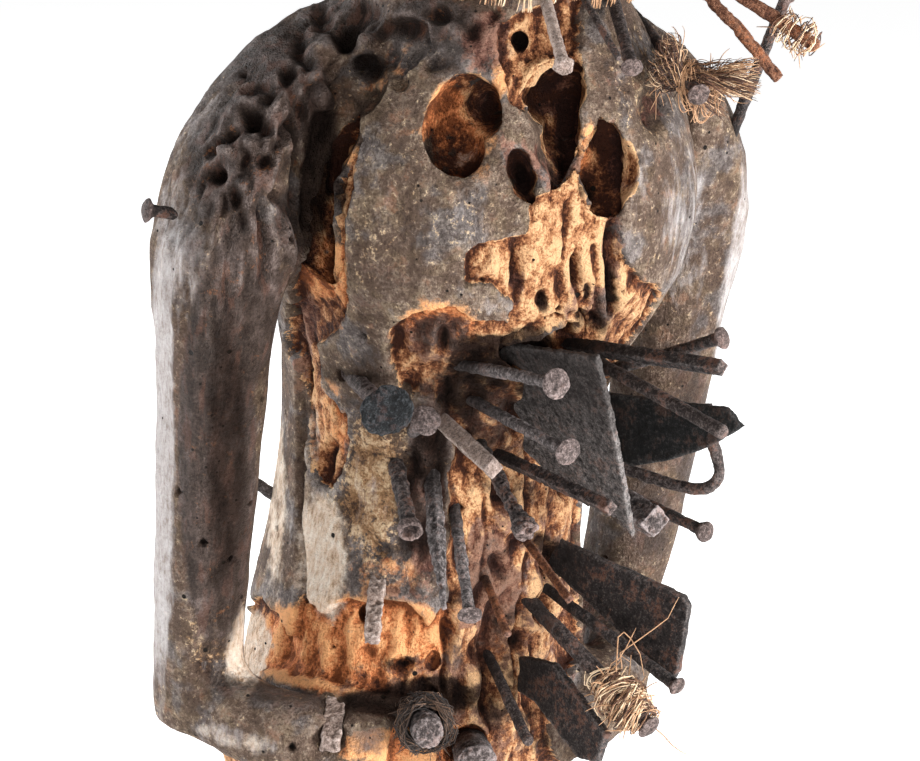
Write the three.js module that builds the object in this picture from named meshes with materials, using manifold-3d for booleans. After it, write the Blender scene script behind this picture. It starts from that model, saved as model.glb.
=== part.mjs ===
// A standing power figure, carved with its low base from one log and driven full of nails and blades.
// Millimetres, +Z up. The figure faces -Y, and its right hand is at -X.
// The origin is the centre of the base's underside.

import * as THREE from "three";
import { mergeVertices } from "three/addons/utils/BufferGeometryUtils.js";
import Module from "manifold-3d";

const wasm = await Module();
wasm.setup();

// Driving dimensions. The carving is drawn from soles at 34 to a crown at 765, and scaled to carvedHeight.
const carvedHeight = 731;
const drawnSoles = 34;
const drawnCrown = 765;
const baseWidth = 196;
const baseDepth = 176;
const baseHeight = 34;
const baseCorner = 34;

const scale = carvedHeight / (drawnCrown - drawnSoles);

// Drawn point in the part's own frame.
const carved = (x, y, z) =>
  new THREE.Vector3(x * scale, y * scale, baseHeight + (z - drawnSoles) * scale);

// Row of a table of stations at a place between them, eased through its neighbours.
function stationAt(stations, at) {
  const last = stations.length - 1;
  let i = 0;
  while (i < last - 1 && at > stations[i + 1][0]) i++;
  const before = stations[Math.max(i - 1, 0)];
  const [a, b] = [stations[i], stations[i + 1]];
  const after = stations[Math.min(i + 2, last)];
  const span = b[0] - a[0];
  const t = THREE.MathUtils.clamp((at - a[0]) / span, 0, 1);
  return a.map((low, column) => {
    const high = b[column];
    const slopeIn = ((high - before[column]) / (b[0] - before[0])) * span;
    const slopeOut = ((after[column] - low) / (after[0] - a[0])) * span;
    const bend = slopeIn + slopeOut - 2 * (high - low);
    return low + t * (slopeIn + t * (3 * (high - low) - 2 * slopeIn - slopeOut + t * bend));
  });
}

// Distance to the edge of a squared-off circle, for a unit section.
function squared(around, squareness) {
  const [s, c] = [Math.abs(Math.sin(around)), Math.abs(Math.cos(around))];
  return 1 / Math.pow(Math.pow(s, squareness) + Math.pow(c, squareness), 1 / squareness);
}

// Closed skin: a unit cylinder with every vertex moved to place(along, around, out).
// Around is 0 at the front and grows towards +X; out is 0 on the axis and 1 on the skin.
function skin(sides, rings, place) {
  const geometry = new THREE.CylinderGeometry(1, 1, 1, sides, rings);
  const position = geometry.attributes.position;
  const v = new THREE.Vector3();
  for (let i = 0; i < position.count; i++) {
    v.fromBufferAttribute(position, i);
    const out = Math.min(1, Math.hypot(v.x, v.z));
    const moved = place(v.y + 0.5, Math.atan2(v.x, v.z), out);
    position.setXYZ(i, moved.x, moved.y, moved.z);
  }
  return geometry;
}

// Solid for cutting and joining, from a closed geometry.
function solid(geometry) {
  const bare = geometry.clone();
  bare.deleteAttribute("normal");
  bare.deleteAttribute("uv");
  const merged = mergeVertices(bare, 1e-3);
  return new wasm.Manifold(
    new wasm.Mesh({
      numProp: 3,
      vertProperties: new Float32Array(merged.attributes.position.array),
      triVerts: new Uint32Array(merged.index.array),
    }),
  );
}

// Geometry of a finished solid.
function geometryOf(shape) {
  const mesh = shape.getMesh();
  const geometry = new THREE.BufferGeometry();
  const positions = new THREE.BufferAttribute(mesh.vertProperties, 3);
  geometry.setAttribute("position", positions);
  geometry.setIndex(new THREE.BufferAttribute(mesh.triVerts, 1));
  geometry.computeVertexNormals();
  return geometry;
}

// Trunk, from the crotch up into the head.
// Each row: height, middle Y, half width, half depth in front, half depth behind, squareness.
const trunkStations = [
  [214, 6, 34, 30, 34, 2.2],
  [224, 6, 52, 48, 50, 2.2],
  [250, 5, 63, 61, 60, 2.2],
  [280, 3, 64, 62, 59, 2.2],
  [310, 1, 61, 58, 56, 2.2],
  [350, 0, 55, 54, 53, 2.2],
  [390, 0, 53, 56, 53, 2.2],
  [417, 0, 56, 61, 55, 2.3],
  [440, 0, 65, 71, 57, 2.3],
  [456, 0, 73, 78, 59, 2.4],
  [480, 0, 77, 80, 60, 2.4],
  [500, 0, 76, 77, 58, 2.4],
  [520, -1, 69, 70, 53, 2.3],
  [538, -3, 57, 58, 47, 2.2],
  [553, -6, 44, 45, 41, 2.2],
  [572, -8, 37, 38, 37, 2.1],
  [592, -10, 36, 37, 37, 2.1],
];

function trunkPoint(around, height, out = 1) {
  const [, middle, halfWidth, front, back, squareness] = stationAt(trunkStations, height);
  const reach = out * squared(around, squareness);
  const depth = Math.cos(around) > 0 ? front : back;
  return carved(
    Math.sin(around) * halfWidth * reach,
    middle - Math.cos(around) * depth * reach,
    height,
  );
}

function trunk() {
  const low = trunkStations[0][0];
  const high = trunkStations.at(-1)[0];
  return skin(26, 23, (along, around, out) =>
    trunkPoint(around, low + along * (high - low), out),
  );
}

// Limb along a path. Each row: share of the way, x, y, z, half across, half deep.
// The half across lies square to the path and to towards; squareness shapes the section.
function limb(stations, towards, squareness, sides, rings, side, spread = () => 0) {
  const place = (along, around, out) => {
    const [, x, y, z, across, deep] = stationAt(stations, along);
    const ahead = stationAt(stations, Math.min(along + 0.02, 1));
    const behind = stationAt(stations, Math.max(along - 0.02, 0));
    const tangent = new THREE.Vector3(
      ahead[1] - behind[1],
      ahead[2] - behind[2],
      ahead[3] - behind[3],
    ).normalize();
    const a = new THREE.Vector3().crossVectors(tangent, towards).normalize();
    const b = new THREE.Vector3().crossVectors(a, tangent);
    const reach = out * squared(around, squareness);
    const p = new THREE.Vector3(x + spread(along), y, z)
      .addScaledVector(a, Math.sin(around) * across * reach)
      .addScaledVector(b, Math.cos(around) * deep * reach);
    return carved(p.x, p.y, p.z);
  };
  const geometry = skin(sides, rings, place);
  return side > 0 ? geometry : mirrored(geometry);
}

// The other side of the body.
function mirrored(geometry) {
  const flipped = geometry.clone().scale(-1, 1, 1);
  const index = flipped.index.array;
  for (let i = 0; i < index.length; i += 3) {
    [index[i + 1], index[i + 2]] = [index[i + 2], index[i + 1]];
  }
  return flipped;
}

const forward = new THREE.Vector3(0, -1, 0);
const upward = new THREE.Vector3(0, 0, 1);

// Shoulder and upper arm, from behind the neck over and down to the elbow.
const upperArm = [
  [0, 16, 12, 516, 26, 34],
  [0.12, 42, 9, 516, 27, 32],
  [0.24, 67, 4, 505, 28, 30],
  [0.36, 87, 0, 486, 26, 27],
  [0.47, 97, -2, 460, 22, 23],
  [0.6, 96, -1, 428, 18, 18.5],
  [0.72, 94, 0, 394, 16.5, 17],
  [0.84, 92, 2, 350, 15.5, 16],
  [0.94, 89, 4, 312, 14.5, 15],
  [1, 87, 6, 282, 13, 13],
];

const foreArm = [
  [0, 87, 15, 296, 13, 13],
  [0.25, 85, -4, 294, 14, 14],
  [0.5, 77, -22, 291, 13, 14],
  [0.75, 62, -38, 288, 12, 15],
  [1, 42, -50, 286, 9, 17],
];

// The left arm stands further out than the right, by this much at the elbow.
const leftSpread = 6;

const armSpread = (side, share) =>
  side > 0 ? leftSpread * THREE.MathUtils.smoothstep(share, 0.3, 0.8) : 0;

const thigh = [
  [0, 32, 8, 258, 28, 36],
  [0.25, 34, 4, 210, 32, 34],
  [0.5, 36, -6, 150, 27, 29],
  [0.6, 37, -8, 128, 25, 27],
  [0.8, 38, 2, 82, 24, 28],
  [1, 38, 8, 26, 20, 23],
];

const foot = [
  [0, 39, 36, 40, 16, 12],
  [0.3, 40, 16, 42, 22, 18],
  [0.6, 43, -14, 39, 22, 15],
  [0.9, 46, -46, 35, 23, 10],
  [1, 46, -56, 33, 18, 7],
];

// Head and cap. Each row: height, middle Y, half width, half depth in front, half depth behind.
const headStations = [
  [562, -14, 18, 18, 18],
  [571, -15, 33, 40, 30],
  [586, -16, 43, 52, 40],
  [608, -15, 51, 58, 50],
  [635, -13, 57, 59, 58],
  [662, -12, 59, 58, 61],
  [684, -11, 60, 58, 62],
  [700, -10, 64, 63, 66],
  [722, -9, 60, 60, 62],
  [744, -8, 47, 47, 48],
  [758, -8, 28, 28, 28],
  [765, -8, 9, 9, 9],
];

function headPoint(around, height, out = 1) {
  const [, middle, halfWidth, front, back] = stationAt(headStations, height);
  const reach = out * squared(around, 2.2);
  const depth = Math.cos(around) > 0 ? front : back;
  return carved(
    Math.sin(around) * halfWidth * reach,
    middle - Math.cos(around) * depth * reach,
    height,
  );
}

function head() {
  const low = headStations[0][0];
  const high = headStations.at(-1)[0];
  return skin(18, 12, (along, around, out) =>
    headPoint(around, low + along * (high - low), out),
  );
}

function base() {
  const outline = new THREE.Shape();
  const [w, d, r] = [baseWidth / 2, baseDepth / 2, baseCorner];
  outline.moveTo(w - r, -d);
  outline.quadraticCurveTo(w, -d, w, r - d);
  outline.lineTo(w, d - r);
  outline.quadraticCurveTo(w, d, w - r, d);
  outline.lineTo(r - w, d);
  outline.quadraticCurveTo(-w, d, -w, d - r);
  outline.lineTo(-w, r - d);
  outline.quadraticCurveTo(-w, -d, r - w, -d);
  return new THREE.ExtrudeGeometry(outline, {
    depth: baseHeight,
    bevelEnabled: false,
    curveSegments: 4,
  });
}

// Round lump or hollow: centre, half sizes, then turned about X, Y and Z in degrees.
function lump(centre, half, turn = [0, 0, 0], sides = 8, rings = 5) {
  const turned = new THREE.Euler(...turn.map(THREE.MathUtils.degToRad), "ZYX");
  return new THREE.SphereGeometry(1, sides, rings)
    .scale(...half.map((v) => v * scale))
    .applyMatrix4(new THREE.Matrix4().makeRotationFromEuler(turned))
    .translate(...carved(...centre).toArray());
}

// Brow, eyes, nose, mouth, ears and the rim of the cap, half sizes given for the right side.
const browLump = { centre: [-21, -63, 668], half: [21, 8, 5], turn: [0, 6, 22] };
const eyeLump = { centre: [-22, -62, 652], half: [14, 7, 8], turn: [0, 6, 24] };
const earLump = { centre: [-59, -4, 648], half: [6, 10, 18], turn: [-12, 0, -15] };
const nose = { centre: [0, -69, 640], half: [8, 10, 19], turn: [-14, 0, 0] };
const nostrils = { centre: [0, -73, 629], half: [14, 8, 7], turn: [0, 0, 0] };
const lips = { centre: [0, -68, 608], half: [19, 9, 9], turn: [0, 0, 0] };
const mouth = { centre: [0, -78, 608], half: [13, 6, 4], turn: [0, 0, 0] };
const chin = { centre: [0, -58, 588], half: [17, 11, 9], turn: [0, 0, 0] };
const buttock = { centre: [-27, 34, 250], half: [31, 33, 35], turn: [0, 0, 0] };

function features(shape) {
  for (const side of [1, -1]) {
    const paired = ({ centre, half, turn }) => {
      const [x, y, z] = centre;
      const [tx, ty, tz] = turn;
      return solid(lump([x * side, y, z], half, [tx, ty * side, tz * side]));
    };
    for (const each of [browLump, eyeLump, earLump, buttock]) shape = shape.add(paired(each));
  }
  for (const each of [nose, nostrils, lips, chin]) {
    shape = shape.add(solid(lump(each.centre, each.half, each.turn)));
  }
  return shape.subtract(solid(lump(mouth.centre, mouth.half, mouth.turn)));
}

// Hollows rotted into the chest, the groove beside each arm, and pits on the right shoulder.
const hollows = [
  { centre: [-45, -64, 521], half: [15, 13, 20], turn: [0, 12, 0] },
  { centre: [-26, -76, 507], half: [5, 11, 11], turn: [0, -10, 0] },
  { centre: [-12, -72, 523], half: [9, 15, 20], turn: [0, -12, 0] },
  { centre: [6, -76, 509], half: [8, 13, 15], turn: [0, 15, 0] },
  { centre: [33, -66, 521], half: [8, 6, 9], turn: [0, 0, 0] },
  { centre: [-79, -30, 504], half: [6, 24, 44], turn: [0, -4, 0] },
  { centre: [77, -26, 500], half: [4, 16, 38], turn: [0, 6, 0] },
  { centre: [-112, -14, 495], half: [6, 6, 8], turn: [0, 0, 0] },
  { centre: [-97, -16, 516], half: [6, 6, 7], turn: [0, 0, 0] },
  { centre: [-92, -29, 490], half: [6, 7, 8], turn: [0, 0, 0] },
];

// Iron. Every piece is driven this deep, with this gap to the wood round it.
const sunk = 14;
const fit = 0.35;
const nailShank = 2.2;
const nailHead = 5;
const headThickness = 2.4;

const down = new THREE.Vector3(0, 0, -1);

// Direction out of the figure: yaw from straight ahead towards +X, pitch above level, in degrees.
function heading(yaw, pitch) {
  const [y, p] = [yaw, pitch].map(THREE.MathUtils.degToRad);
  return new THREE.Vector3(Math.sin(y) * Math.cos(p), -Math.cos(y) * Math.cos(p), Math.sin(p));
}

// Point of the trunk's skin at a width and a height, on the front or the back.
function onTrunk(x, height, face) {
  const [, middle, halfWidth, front, back, squareness] = stationAt(trunkStations, height);
  const share = Math.pow(1 - Math.pow(Math.abs(x) / halfWidth, squareness), 1 / squareness);
  return carved(x, face === "back" ? middle + back * share : middle - front * share, height);
}

// Where a piece enters the wood: a width and a height on the trunk, or a whole point elsewhere.
const entry = ({ at, face }) => (at.length === 2 ? onTrunk(...at, face) : carved(...at));

// Line of a driven piece, by distance out of the wood; bow is how far it sags over its length.
function line(piece) {
  const origin = entry(piece);
  const direction = heading(piece.yaw, piece.pitch);
  const bow = (piece.bow ?? 0) / (piece.out * piece.out);
  return (t) =>
    origin
      .clone()
      .addScaledVector(direction, t)
      .addScaledVector(down, bow * Math.max(t, 0) ** 2);
}

// Closed bar along a line. Each row: distance along, radius, squareness.
function bar(at, rows, sides) {
  return skin(sides, rows.length - 1, (along, around, out) => {
    const [t, radius, squareness] = rows[Math.round(along * (rows.length - 1))];
    const tangent = at(t + 0.5).sub(at(t - 0.5)).normalize();
    const side = Math.abs(tangent.z) > 0.9 ? forward : upward;
    const a = new THREE.Vector3().crossVectors(tangent, side).normalize();
    const b = new THREE.Vector3().crossVectors(a, tangent);
    const reach = out * radius * squared(around, squareness);
    return at(t)
      .addScaledVector(a, Math.sin(around) * reach)
      .addScaledVector(b, Math.cos(around) * reach);
  });
}

// Rows of a bar outside the wood, for each kind of piece.
const shapes = {
  nail: ({ out, shank = nailShank, head = nailHead }) => [
    [out - headThickness, shank, 2],
    [out - headThickness, head, 2],
    [out, head * 0.8, 2],
  ],
  cone: ({ out, shank = nailShank, head = nailHead }) => [
    [out - 2.5 * headThickness, shank, 2],
    [out - 0.4 * headThickness, head, 2],
    [out, head * 0.8, 2],
  ],
  rod: ({ out, shank = nailShank, bow }) =>
    (bow ? [0.25, 0.5, 0.75, 1] : [1]).map((share) => [share * out, shank, 2]),
  peg: ({ out, shank = nailShank }) => [[out, shank, 2]],
  shard: ({ out, shank = nailShank }) => [
    [out * 0.45, shank * 1.1, 2],
    [out, shank * 0.3, 2],
  ],
  crust: ({ out, shank = nailShank }) => [
    [out * 0.3, shank * 1.1, 2],
    [out * 0.45, shank * 1.7, 2],
    [out * 0.62, shank * 1.2, 2],
    [out, shank * 1.5, 2],
  ],
  ring: ({ out, shank = nailShank, head = nailHead }) => [
    [out - 1.6 * headThickness, shank, 2],
    [out - 1.4 * headThickness, head, 2],
    [out, head, 2],
  ],
};

const sidesOf = ({ kind, shank = nailShank }) => (kind === "peg" ? 4 : shank > 4 ? 8 : 6);

function driven(piece) {
  const { shank = nailShank, sink = sunk } = piece;
  const rows = [[-sink, shank * 0.6, 2], [0, shank, 2], ...shapes[piece.kind](piece)];
  return bar(line(piece), rows, sidesOf(piece));
}

// Hole in the wood for a driven bar, open well past the skin.
function holeFor(piece) {
  const { shank = nailShank, sink = sunk } = piece;
  const clear = piece.clear ?? 10;
  const room = fit * 1.3;
  const widened = shank * (1 + (0.4 * clear) / sink) + room;
  return bar(line(piece), [[-sink - fit, shank * 0.6 + room, 2], [clear, widened, 2]], sidesOf(piece));
}

const bars = [
  { name: "nail_chest_top_right", kind: "nail", at: [-8, 564], yaw: -22, pitch: -20, out: 48, head: 4 },
  { name: "needle_chest_top", kind: "rod", at: [5, 564], yaw: -9, pitch: -22, out: 42, shank: 1.2 },
  { name: "nail_chest_top_left", kind: "nail", at: [24, 561], yaw: -22, pitch: -22, out: 48, head: 3.8 },
  { name: "nail_shoulder_right", kind: "nail", at: [-116, 0, 478], yaw: -106, pitch: 6, out: 10, head: 5.2 },
  { name: "nail_belly_disc", kind: "nail", at: [-53, 420], yaw: -14, pitch: 3, out: 34, head: 9, shank: 2.6 },
  { name: "nail_belly_stub", kind: "nail", at: [-39, 406], yaw: -22, pitch: 32, out: 21, head: 5.4 },
  { name: "peg_belly_pale", kind: "peg", at: [-31, 410], yaw: -6, pitch: -3, out: 36, shank: 4.2 },
  { name: "nail_belly_high", kind: "nail", at: [-30, 435], yaw: 2, pitch: 13, out: 48, head: 5.4 },
  { name: "nail_belly_middle", kind: "nail", at: [-22, 419], yaw: 3, pitch: 1, out: 50, head: 5 },
  { name: "bar_belly_long", kind: "peg", at: [-9, 397], yaw: 5, pitch: 3, out: 58, shank: 3 },
  { name: "nail_belly_crusted", kind: "crust", at: [-17, 400], yaw: -14, pitch: -12, out: 50, shank: 2.6 },
  { name: "nail_left_high", kind: "nail", at: [24, 427], yaw: 20, pitch: 29, out: 56, head: 4 },
  { name: "bar_left_high", kind: "peg", at: [10, 441], yaw: 14, pitch: 11, out: 60, shank: 3.2 },
  { name: "nail_left_long", kind: "rod", at: [15, 435], yaw: 9, pitch: -4, out: 66, shank: 2.4 },
  { name: "bolt_left_square", kind: "peg", at: [33, 379], yaw: 1, pitch: 2, out: 46, shank: 6.5 },
  { name: "nail_left_cone", kind: "cone", at: [44, 375], yaw: 6, pitch: 2, out: 66, head: 4 },
  { name: "nail_waist_ringed", kind: "ring", at: [-41, 391], yaw: -20, pitch: -23, out: 32, shank: 3, head: 4.6 },
  { name: "shard_waist", kind: "shard", at: [-31, 387], yaw: -23, pitch: -37, out: 50, shank: 3.2 },
  { name: "nail_waist_long", kind: "nail", at: [-22, 373], yaw: -22, pitch: -30, out: 42, head: 4.4 },
  { name: "nail_waist_thin", kind: "peg", at: [8, 361], yaw: -5, pitch: -15, out: 32, shank: 2 },
  { name: "nail_waist_low", kind: "rod", at: [-7, 346], yaw: -15, pitch: -18, out: 24, shank: 1.6 },
  { name: "rod_hip_wrapped", kind: "nail", at: [15, 335], yaw: 12, pitch: -22, out: 64, shank: 3, head: 4.6 },
  { name: "nail_hip_behind", kind: "nail", at: [24, 338], yaw: 12, pitch: -11, out: 64, head: 3.4 },
  { name: "nail_hip_low", kind: "rod", at: [-2, 314], yaw: -12, pitch: -18, out: 36, shank: 2 },
  { name: "peg_hip_right", kind: "peg", at: [-53, 300], yaw: -35, pitch: -20, out: 21, shank: 4.6, clear: 28 },
  { name: "bolt_hip_right", kind: "rod", at: [-29, 299], yaw: -27, pitch: 10, out: 20, shank: 6 },
  { name: "bolt_hip_front", kind: "rod", at: [-10, 285], yaw: -30, pitch: 14, out: 22, shank: 7 },
  { name: "peg_waist_right", kind: "peg", at: [-43, 346], yaw: -34, pitch: -28, out: 25, shank: 3 },
  { name: "rod_neck_left", kind: "rod", at: [40, -8, 577], yaw: 55, pitch: -24, out: 77, shank: 2.4, bow: 22 },
  { name: "rod_neck_wrapped", kind: "rod", at: [36, -30, 579], yaw: 53, pitch: -27, out: 80, shank: 2.4 },
  { name: "nail_left_shoulder", kind: "nail", at: [102, -20, 492], yaw: 21, pitch: 75, out: 60, head: 3.4 },
  { name: "nail_left_tassel", kind: "nail", at: [50, 542], yaw: -12, pitch: -11, out: 57, head: 4, clear: 24 },
  { name: "nail_back_right", kind: "nail", at: [-46, 354], face: "back", yaw: -115, pitch: 32, out: 30, head: 4 },
];

// Flat iron: corners as distance out along the yaw and height above the entry; lean tips its top towards +X.
const plates = [
  {
    name: "blade_belly",
    at: [-1, 415],
    yaw: 15,
    lean: -26,
    thick: 2.4,
    corners: [[-14, 20], [-4, 29], [38.5, 40], [38.6, 14], [37.6, -9], [35, -44], [27, -33], [2, -30], [-12, -20]],
  },
  {
    name: "blade_left_pointed",
    at: [24, 405],
    yaw: 22,
    lean: 0,
    thick: 3,
    corners: [[-12, 11], [14, 15], [58, 23], [65, 18], [53, 7], [39, -2], [24, -9], [-12, -5]],
  },
  {
    name: "blade_hip",
    at: [31, 350],
    yaw: 18,
    lean: 0,
    thick: 3,
    corners: [[-14, 6], [52, 3], [55, 0], [53.5, -26], [51, -33], [27, -20], [-12, -4]],
  },
  {
    name: "blade_hip_low",
    at: [14, 308],
    yaw: 5,
    lean: 0,
    thick: 3.4,
    corners: [[-14, 4], [-4, 8], [12, 12], [44, -2], [41, -14], [31, -17], [4, -6], [-12, -6]],
  },
];

// Corners of a convex outline moved out by a distance.
function grown(corners, by) {
  const turnsLeft = THREE.ShapeUtils.area(corners.map((c) => new THREE.Vector2(...c))) > 0;
  const ring = turnsLeft ? corners : [...corners].reverse();
  const count = ring.length;
  return ring.map((corner, i) => {
    const before = ring[(i + count - 1) % count];
    const after = ring[(i + 1) % count];
    const normal = (from, to) => {
      const edge = new THREE.Vector2(to[0] - from[0], to[1] - from[1]).normalize();
      return new THREE.Vector2(edge.y, -edge.x);
    };
    const [n1, n2] = [normal(before, corner), normal(corner, after)];
    const middle = n1.clone().add(n2).normalize();
    const reach = by / middle.dot(n1);
    return [corner[0] + middle.x * reach, corner[1] + middle.y * reach];
  });
}

function plateSolid({ at, face, yaw, lean, thick, corners }, by = 0) {
  const ring = by ? grown(corners, by) : corners;
  const out = heading(yaw, 0);
  const across = new THREE.Vector3().crossVectors(upward, out).negate();
  const rise = THREE.MathUtils.degToRad(lean);
  const up = upward.clone().multiplyScalar(Math.cos(rise)).addScaledVector(across, -Math.sin(rise));
  const normal = new THREE.Vector3().crossVectors(out, up);
  const frame = new THREE.Matrix4().makeBasis(out, up, normal).setPosition(entry({ at, face }));
  const depth = thick + 2 * by;
  return new THREE.ExtrudeGeometry(new THREE.Shape(ring.map((c) => new THREE.Vector2(...c))), {
    depth,
    bevelEnabled: false,
  })
    .translate(0, 0, -depth / 2)
    .applyMatrix4(frame);
}

// Nail bent round into a hook: points as distance out along its yaw and height above its entry.
const hook = {
  name: "nail_left_hooked",
  at: [29, 396],
  yaw: 24,
  shank: 2,
  head: 4,
  points: [[-14, 2], [0, 1], [23, 0], [46, -1], [56, 2], [58, 9], [53, 20], [49, 31]],
};

function hookLine({ at, face, yaw, points }) {
  const origin = entry({ at, face });
  const out = heading(yaw, 0);
  const curve = new THREE.CatmullRomCurve3(
    points.map(([u, w]) => origin.clone().addScaledVector(out, u).addScaledVector(upward, w)),
  );
  const length = curve.getLength();
  return { length, at: (t) => curve.getPointAt(THREE.MathUtils.clamp(t / length, 0, 1)) };
}

// Fibre bound round a bar, between two distances along it. Each row: share of the way, radius.
const wraps = [
  { name: "binding_hip_rod", on: "rod_hip_wrapped", from: 36, to: 60, rows: [[0, 5.5], [0.25, 9], [0.7, 9.5], [1, 6]] },
  { name: "binding_neck_rod", on: "rod_neck_wrapped", from: 62, to: 80, rows: [[0, 4.5], [0.4, 7], [1, 5.5]] },
  { name: "binding_hip_bolt", on: "bolt_hip_right", from: 1, to: 10, rows: [[0, 9.5], [0.5, 10.5], [1, 9]] },
];

function wrapped({ on, from, to, rows }) {
  const piece = bars.find((each) => each.name === on);
  const at = line(piece);
  const bore = piece.shank + fit * 1.3;
  const outer = rows.map(([share, radius]) => [from + share * (to - from), radius, 2]);
  return solid(bar(at, outer, 8)).subtract(
    solid(bar(at, [[from - 1, bore, 2], [to + 1, bore, 2]], sidesOf(piece))),
  );
}

// Brush of fibre tied across a nail on the left shoulder: distance along it, radius.
const tassel = {
  name: "fibre_tassel",
  on: "nail_left_tassel",
  across: 43,
  yaw: 55,
  pitch: 2,
  rows: [[-12, 5], [-6, 7], [4, 5.6], [10, 5.8], [27, 6.5]],
};

function tasselSolid({ on, across, yaw, pitch, rows }) {
  const piece = bars.find((each) => each.name === on);
  const middle = line(piece)(across);
  const direction = heading(yaw, pitch);
  const at = (t) => middle.clone().addScaledVector(direction, t);
  const bore = (piece.shank ?? nailShank) + fit * 1.3;
  return solid(bar(at, rows.map(([t, radius]) => [t, radius, 2]), 8)).subtract(
    solid(bar(line(piece), [[across - 14, bore, 2], [across + 14, bore, 2]], sidesOf(piece))),
  );
}

// Fibre collar round the neck, between two heights, with the chest-top nails passing through it.
const collar = { name: "fibre_collar", low: 556, high: 569, thick: 8, gap: 2 };

function collarSolid({ low, high, thick, gap }) {
  const ring = (from, to, by) =>
    solid(
      skin(20, 2, (along, around, out) => {
        const height = from + along * (to - from);
        const axis = trunkPoint(around, height, 0);
        const edge = trunkPoint(around, height);
        const bulge = by + (by > gap ? thick * 0.25 * Math.sin(along * Math.PI) : 0);
        return edge.add(edge.clone().sub(axis).setLength(bulge)).lerp(axis, 1 - out);
      }),
    );
  return ring(low, high, thick).subtract(ring(low - 1, high + 1, gap));
}

// Facets of the wood thinner than this are folded into their neighbours.
const facetTolerance = 0.5;

let figure = solid(trunk()).add(solid(head())).add(solid(base()));
for (const side of [1, -1]) {
  figure = figure
    .add(solid(limb(upperArm, forward, 3, 12, 15, side, (t) => armSpread(side, t))))
    .add(solid(limb(foreArm, upward, 3, 12, 5, side, (t) => armSpread(side, 1 - t))))
    .add(solid(limb(thigh, forward, 2.2, 10, 8, side)))
    .add(solid(limb(foot, upward, 2.6, 10, 4, side)));
}
figure = features(figure);
for (const { centre, half, turn } of hollows) {
  figure = figure.subtract(solid(lump(centre, half, turn, 8, 6)));
}

figure = figure.simplify(facetTolerance);

const group = new THREE.Group();
const wood = new THREE.MeshStandardMaterial({ color: 0x6b5a4a, roughness: 0.8, metalness: 0 });
const iron = new THREE.MeshStandardMaterial({ color: 0x3f3733, roughness: 0.75, metalness: 0.6 });

const fibre = new THREE.MeshStandardMaterial({ color: 0xa98c66, roughness: 0.9, metalness: 0 });

function show(name, geometry, material) {
  const mesh = new THREE.Mesh(geometry, material.clone());
  mesh.name = name;
  group.add(mesh);
}

for (const piece of bars) {
  show(piece.name, driven(piece), iron);
  figure = figure.subtract(solid(holeFor(piece)));
}
for (const piece of plates) {
  show(piece.name, plateSolid(piece), iron);
  figure = figure.subtract(solid(plateSolid(piece, fit)));
}
const bent = hookLine(hook);
const hookRows = Array.from({ length: 10 }, (_, i) => [
  (bent.length * i) / 10,
  hook.shank,
  2,
]);
const hookTop = bent.length - headThickness;
show(
  hook.name,
  bar(bent.at, [...hookRows, [hookTop, hook.shank, 2], [hookTop, hook.head, 2], [bent.length, hook.head * 0.8, 2]], 6),
  iron,
);
figure = figure.subtract(
  solid(bar(bent.at, hookRows.slice(0, 5).map(([t, r], i) => [i ? t : t - fit, r + fit * 1.3, 2]), 6)),
);

for (const wrap of wraps) show(wrap.name, geometryOf(wrapped(wrap)), fibre);
show(tassel.name, geometryOf(tasselSolid(tassel)), fibre);

let ring = collarSolid(collar);
for (const piece of bars.filter(({ name }) => /chest_top|left_tassel/.test(name))) {
  ring = ring.subtract(solid(holeFor({ ...piece, clear: 24 })));
}
show(collar.name, geometryOf(ring), fibre);
show("carved_figure", geometryOf(figure), wood);

export default group;
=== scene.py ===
# Weathered standing power figure: one carved log, driven with iron and bound with raffia.
# Metres. The figure faces -Y and its right hand is at -X.

import math
import random

import bpy
import numpy as np
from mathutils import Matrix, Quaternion, Vector
from mathutils.kdtree import KDTree


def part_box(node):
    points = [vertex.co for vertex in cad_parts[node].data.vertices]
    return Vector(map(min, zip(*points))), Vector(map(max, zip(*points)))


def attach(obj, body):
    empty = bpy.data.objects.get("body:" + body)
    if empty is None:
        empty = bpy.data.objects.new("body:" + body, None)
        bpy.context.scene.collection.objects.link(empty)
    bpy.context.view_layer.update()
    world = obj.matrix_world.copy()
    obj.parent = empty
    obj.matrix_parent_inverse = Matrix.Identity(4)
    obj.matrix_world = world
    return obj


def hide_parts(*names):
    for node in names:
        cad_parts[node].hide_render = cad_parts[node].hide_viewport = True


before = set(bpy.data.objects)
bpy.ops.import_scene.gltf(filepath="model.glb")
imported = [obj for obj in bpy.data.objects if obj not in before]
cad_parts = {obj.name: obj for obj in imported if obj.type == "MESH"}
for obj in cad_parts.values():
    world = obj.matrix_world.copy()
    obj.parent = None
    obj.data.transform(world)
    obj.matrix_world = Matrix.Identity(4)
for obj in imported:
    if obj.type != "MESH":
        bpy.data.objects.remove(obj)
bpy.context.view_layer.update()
bpy.ops.object.select_all(action="DESELECT")
print("frame loaded:", len(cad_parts), "nodes")


# The camera looks from the figure's right front and a little above.
view = {
    "azimuth": -35,
    "elevation": 20,
    "roll": 6,
    "distance": 1.4,
    "target": (0.0059, -0.0041, 0.405),
    "lens": 153,
    "sensor": 36,
    "width": 920,
    "height": 761,
}

turn, rise, roll = (math.radians(view[k]) for k in ("azimuth", "elevation", "roll"))
viewBack = Vector((math.sin(turn) * math.cos(rise), -math.cos(turn) * math.cos(rise), math.sin(rise)))
viewRight = Vector((math.cos(turn), math.sin(turn), 0))
viewUp = viewBack.cross(viewRight)
eye = Vector(view["target"]) + viewBack * view["distance"]
focal = view["lens"] / view["sensor"] * view["width"]
millimetre = focal / view["distance"] / 1000  # picture units for one millimetre at the figure


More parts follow.
